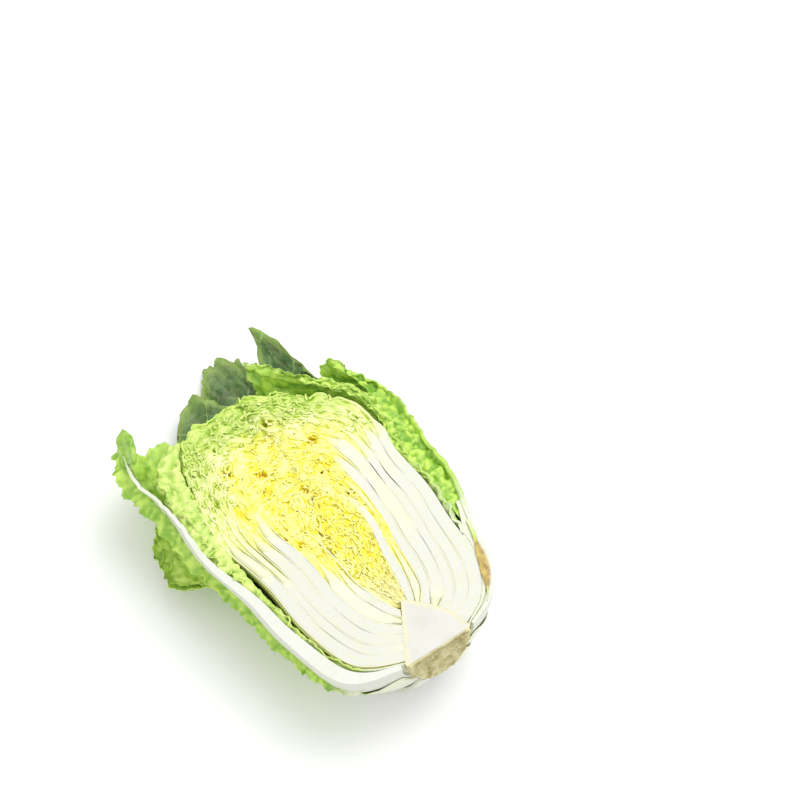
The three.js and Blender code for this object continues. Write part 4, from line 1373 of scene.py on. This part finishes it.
def outer_material():
    """Outer leaves: white ribs, green blades with pale veins, a painted highlight on the crests of
    blisters and folds and painted shade where they sink, dark where they are oldest and as
    painted shade in the loose leaf's hollow, and brown where the edge has dried."""
    n = Nodes("outer leaf", 0.42, 0.15, (0.7, 1.0, 0.25), 0.002)
    rib, edge, tone, across, length, leafy, cell_edge, crest, worn = (n.value(name) for name in OUTER_VALUES)
    # Painted light: paler where the crest value is high, as a painted highlight, and darker where it is low,
    # as painted shade.
    sunk = 1.0 - (crest + n.spread(n.noise(90), 0.3, 0.7, -0.25, 0.25))
    pale = n.mix((228, 243, 148), (186, 220, 92), sunk)
    light = n.mix((190, 226, 84), (112, 170, 36), sunk)
    dark = n.mix((54, 100, 38), (24, 56, 18), sunk)
    blade = n.mix(light, dark, n.spread(tone, 0.5, 1.0))
    blade = n.mix(pale, blade, n.spread(tone, 0.05, 0.45))
    fine = n.spread(n.veins(n.combine(across * 0.001, length * 0.001), 330), 0.1, 0.0)
    bent = (n.noise(30, 2.0) - 0.5) * 14.0
    slanted = length + bent - n.math("ABSOLUTE", across) * 0.9
    side = n.spread(n.math("PINGPONG", slanted, 12.0), 0.8, 0.1)
    vein = n.math("MAXIMUM", n.math("MAXIMUM", cell_edge * 0.5, side * 0.8), fine * 0.3)
    blade = n.mix(blade, (206, 226, 140), vein * 0.45)
    blade = n.mix(blade, (190, 218, 100), edge * 0.35)
    blade = n.mix((224, 228, 200), blade, n.spread(leafy, 0.05, 0.6))
    fibres = n.noise(1.0, 2.0, 0.5, n.combine(across * 1.2, length * 0.02))
    stalk = n.mix((216, 217, 207), (206, 214, 180), n.spread(fibres, 0.5, 0.75))
    brown = n.mix((200, 168, 88), (142, 110, 52), n.spread(n.noise(160, 4.0), 0.35, 0.7))
    whole = n.mix(n.mix(blade, stalk, rib), brown, n.spread(worn, 0.2, 0.6, 0.0, 0.9))
    return n.finish(whole, fine * -0.5 + n.noise(500, 4.0) * 0.7, 0.35, 0.0006)


def stem_material():
    """Stem flesh: smooth off-white, yellowish where leaves join it, tan and rough at the end."""
    n = Nodes("stem flesh", 0.38, 0.5, (1.0, 0.9, 0.6))
    fringe, end = n.value("fringe"), n.value("end")
    flesh = n.mix((211, 210, 203), (204, 204, 194), n.spread(n.noise(80), 0.35, 0.7))
    joined = n.mix(flesh, (226, 220, 168), fringe * 0.75)
    tan = n.mix((206, 200, 150), (168, 154, 96), n.spread(n.noise(130, 5.0), 0.36, 0.66))
    tan = n.mix(tan, (140, 112, 62), n.spread(n.noise(300), 0.66, 0.76))
    return n.finish(n.mix(joined, tan, end), n.noise(700, 5.0) * (end + 0.1), 0.6, 0.001)


# ---------------- settings and operators


class CabbageSettings(bpy.types.PropertyGroup):
    """Sizes and colours of the cabbage that can be changed."""

    crinkle_height: bpy.props.FloatProperty(
        name="Crinkle height",
        description="How far the crinkles of the head leaves rise from their middle surface",
        default=1.35 * MILLIMETRE,
        unit="LENGTH",
    )
    blister_height: bpy.props.FloatProperty(
        name="Blister height",
        description="How far the blisters of the outer leaves stand out between their veins",
        default=3.0 * MILLIMETRE,
        unit="LENGTH",
    )
    floor_colour: bpy.props.FloatVectorProperty(
        name="Floor colour",
        description="Colour of the plain floor",
        default=(0.9, 0.9, 0.9),
        subtype="COLOR",
        size=3,
    )
    camera_distance: bpy.props.FloatProperty(
        name="Camera distance",
        description="How far the camera stands from the cut face",
        default=9.0,
        unit="LENGTH",
    )


class CABBAGE_OT_stem(bpy.types.Operator):
    """Builds the stem with its rough trimmed end"""

    bl_idname = "cabbage.stem"
    bl_label = "Stem"

    def execute(self, context):
        piece("stem_flesh", stem_shells(), stem_material(), "stem")
        return {"FINISHED"}


class CABBAGE_OT_heart(bpy.types.Operator):
    """Builds the crumpled yellow heart"""

    bl_idname = "cabbage.heart"
    bl_label = "Heart"

    def execute(self, context):
        shells = heart_shells(context.scene.cabbage)
        piece("heart_leaves", shells, head_material(), "heart")
        return {"FINISHED"}


class CABBAGE_OT_head_leaves(bpy.types.Operator):
    """Builds the crinkled leaves of the closed head"""

    bl_idname = "cabbage.head_leaves"
    bl_label = "Head Leaves"

    def execute(self, context):
        material = head_material()
        for leaf in range(HEAD_LEAVES):
            node = f"head_leaf_{leaf + 1:02d}"
            shells = head_leaf_shells(leaf, context.scene.cabbage)
            piece(f"{node}_crinkled", shells, material, node)
        return {"FINISHED"}


class CABBAGE_OT_outer_leaves(bpy.types.Operator):
    """Builds the loose green leaves round the head"""

    bl_idname = "cabbage.outer_leaves"
    bl_label = "Outer Leaves"

    def execute(self, context):
        material = outer_material()
        for index, leaf in enumerate(OUTER_LEAVES):
            shells = outer_leaf_shells(index, context.scene.cabbage)
            piece(f"{leaf['node']}_blistered", shells, material, leaf["node"])
        return {"FINISHED"}


VIEW_TURN = math.radians(-35.5)
VIEW_HEIGHT = math.radians(60)
VIEW_CENTRE = (99.5, 189.0)
VIEW_WIDTH = 604.0
SENSOR_WIDTH = 36
FLOOR_REACH = 8.0
FLOOR_GLOW = 0.05
SKY_STRENGTH = 0.98
KEY_PLACE = (0.5, 0.5, 1.6)
KEY_SIZE = 1.6
KEY_ENERGY = 15.5


class CABBAGE_OT_stage(bpy.types.Operator):
    """Makes the floor, the soft light and the camera"""

    bl_idname = "cabbage.stage"
    bl_label = "Stage"

    def execute(self, context):
        settings = context.scene.cabbage
        context.scene.view_settings.view_transform = "Standard"
        across = Vector((math.cos(VIEW_TURN), math.sin(VIEW_TURN), 0))
        ahead = Vector((-math.sin(VIEW_TURN), math.cos(VIEW_TURN), 0))
        self.make_floor(settings)
        self.make_light(context, across, ahead)
        self.make_camera(context, settings, ahead)
        return {"FINISHED"}

    def make_floor(self, settings):
        """A large plain square at the height of zero."""
        mesh = bpy.data.meshes.new("floor")
        corners = [(x * FLOOR_REACH, y * FLOOR_REACH, 0) for x, y in ((-1, -1), (1, -1), (1, 1), (-1, 1))]
        mesh.from_pydata(corners, [], [(0, 1, 2, 3)])
        n = Nodes("floor", 0.8, 0.0)
        n.shader.inputs["Base Color"].default_value = (*settings.floor_colour, 1)
        n.shader.inputs["Emission Color"].default_value = (1, 1, 1, 1)
        n.shader.inputs["Emission Strength"].default_value = FLOOR_GLOW
        mesh.materials.append(n.material)
        add_object("floor", mesh)

    def make_light(self, context, across, ahead):
        """A white sky all round, and a large soft lamp beyond the cabbage on the right."""
        world = context.scene.world or bpy.data.worlds.new("studio")
        context.scene.world = world
        world.use_nodes = True
        background = world.node_tree.nodes["Background"]
        background.inputs["Color"].default_value = (1, 1, 1, 1)
        background.inputs["Strength"].default_value = SKY_STRENGTH
        place = across * KEY_PLACE[0] + ahead * KEY_PLACE[1] + Vector((0, 0, KEY_PLACE[2]))
        key = bpy.data.lights.new("key", "AREA")
        key.shape = "DISK"
        key.size = KEY_SIZE
        key.energy = KEY_ENERGY
        lamp = add_object("key", key)
        lamp.location = place
        lamp.rotation_euler = (-place).to_track_quat("-Z", "Y").to_euler()

    def make_camera(self, context, settings, ahead):
        """A camera that looks down at the cut from beyond the stem and sees VIEW_WIDTH."""
        centre = (ORIGIN_X + VIEW_CENTRE[0], ORIGIN_Y + VIEW_CENTRE[1], CUT_HEIGHT)
        towards = ahead * math.cos(VIEW_HEIGHT) - Vector((0, 0, math.sin(VIEW_HEIGHT)))
        camera = add_object("camera", bpy.data.cameras.new("camera"))
        camera.location = Vector(centre) * MILLIMETRE - towards * settings.camera_distance
        camera.rotation_euler = towards.to_track_quat("-Z", "Y").to_euler()
        camera.data.sensor_width = SENSOR_WIDTH
        camera.data.lens = SENSOR_WIDTH * settings.camera_distance / (VIEW_WIDTH * MILLIMETRE)
        camera.data.clip_end = 50
        context.scene.camera = camera


class CABBAGE_PT_panel(bpy.types.Panel):
    """Lists the pieces of the cabbage"""

    bl_idname = "CABBAGE_PT_panel"
    bl_label = "Half Napa Cabbage"
    bl_space_type = "VIEW_3D"
    bl_region_type = "UI"
    bl_category = "Cabbage"

    def draw(self, context):
        settings = context.scene.cabbage
        for name in ("crinkle_height", "blister_height", "floor_colour", "camera_distance"):
            self.layout.prop(settings, name)
        for operator in OPERATORS:
            self.layout.operator(operator.bl_idname)


OPERATORS = (
    CABBAGE_OT_stage,
    CABBAGE_OT_stem,
    CABBAGE_OT_heart,
    CABBAGE_OT_head_leaves,
    CABBAGE_OT_outer_leaves,
)


def register():
    for kind in (CabbageSettings, *OPERATORS, CABBAGE_PT_panel):
        bpy.utils.register_class(kind)
    bpy.types.Scene.cabbage = bpy.props.PointerProperty(type=CabbageSettings)


def unregister():
    del bpy.types.Scene.cabbage
    for kind in reversed((CabbageSettings, *OPERATORS, CABBAGE_PT_panel)):
        bpy.utils.unregister_class(kind)


def main():
    register()
    bpy.ops.cabbage.stage()
    bpy.ops.cabbage.stem()
    bpy.ops.cabbage.heart()
    bpy.ops.cabbage.head_leaves()
    bpy.ops.cabbage.outer_leaves()


if __name__ == "__main__":
    main()
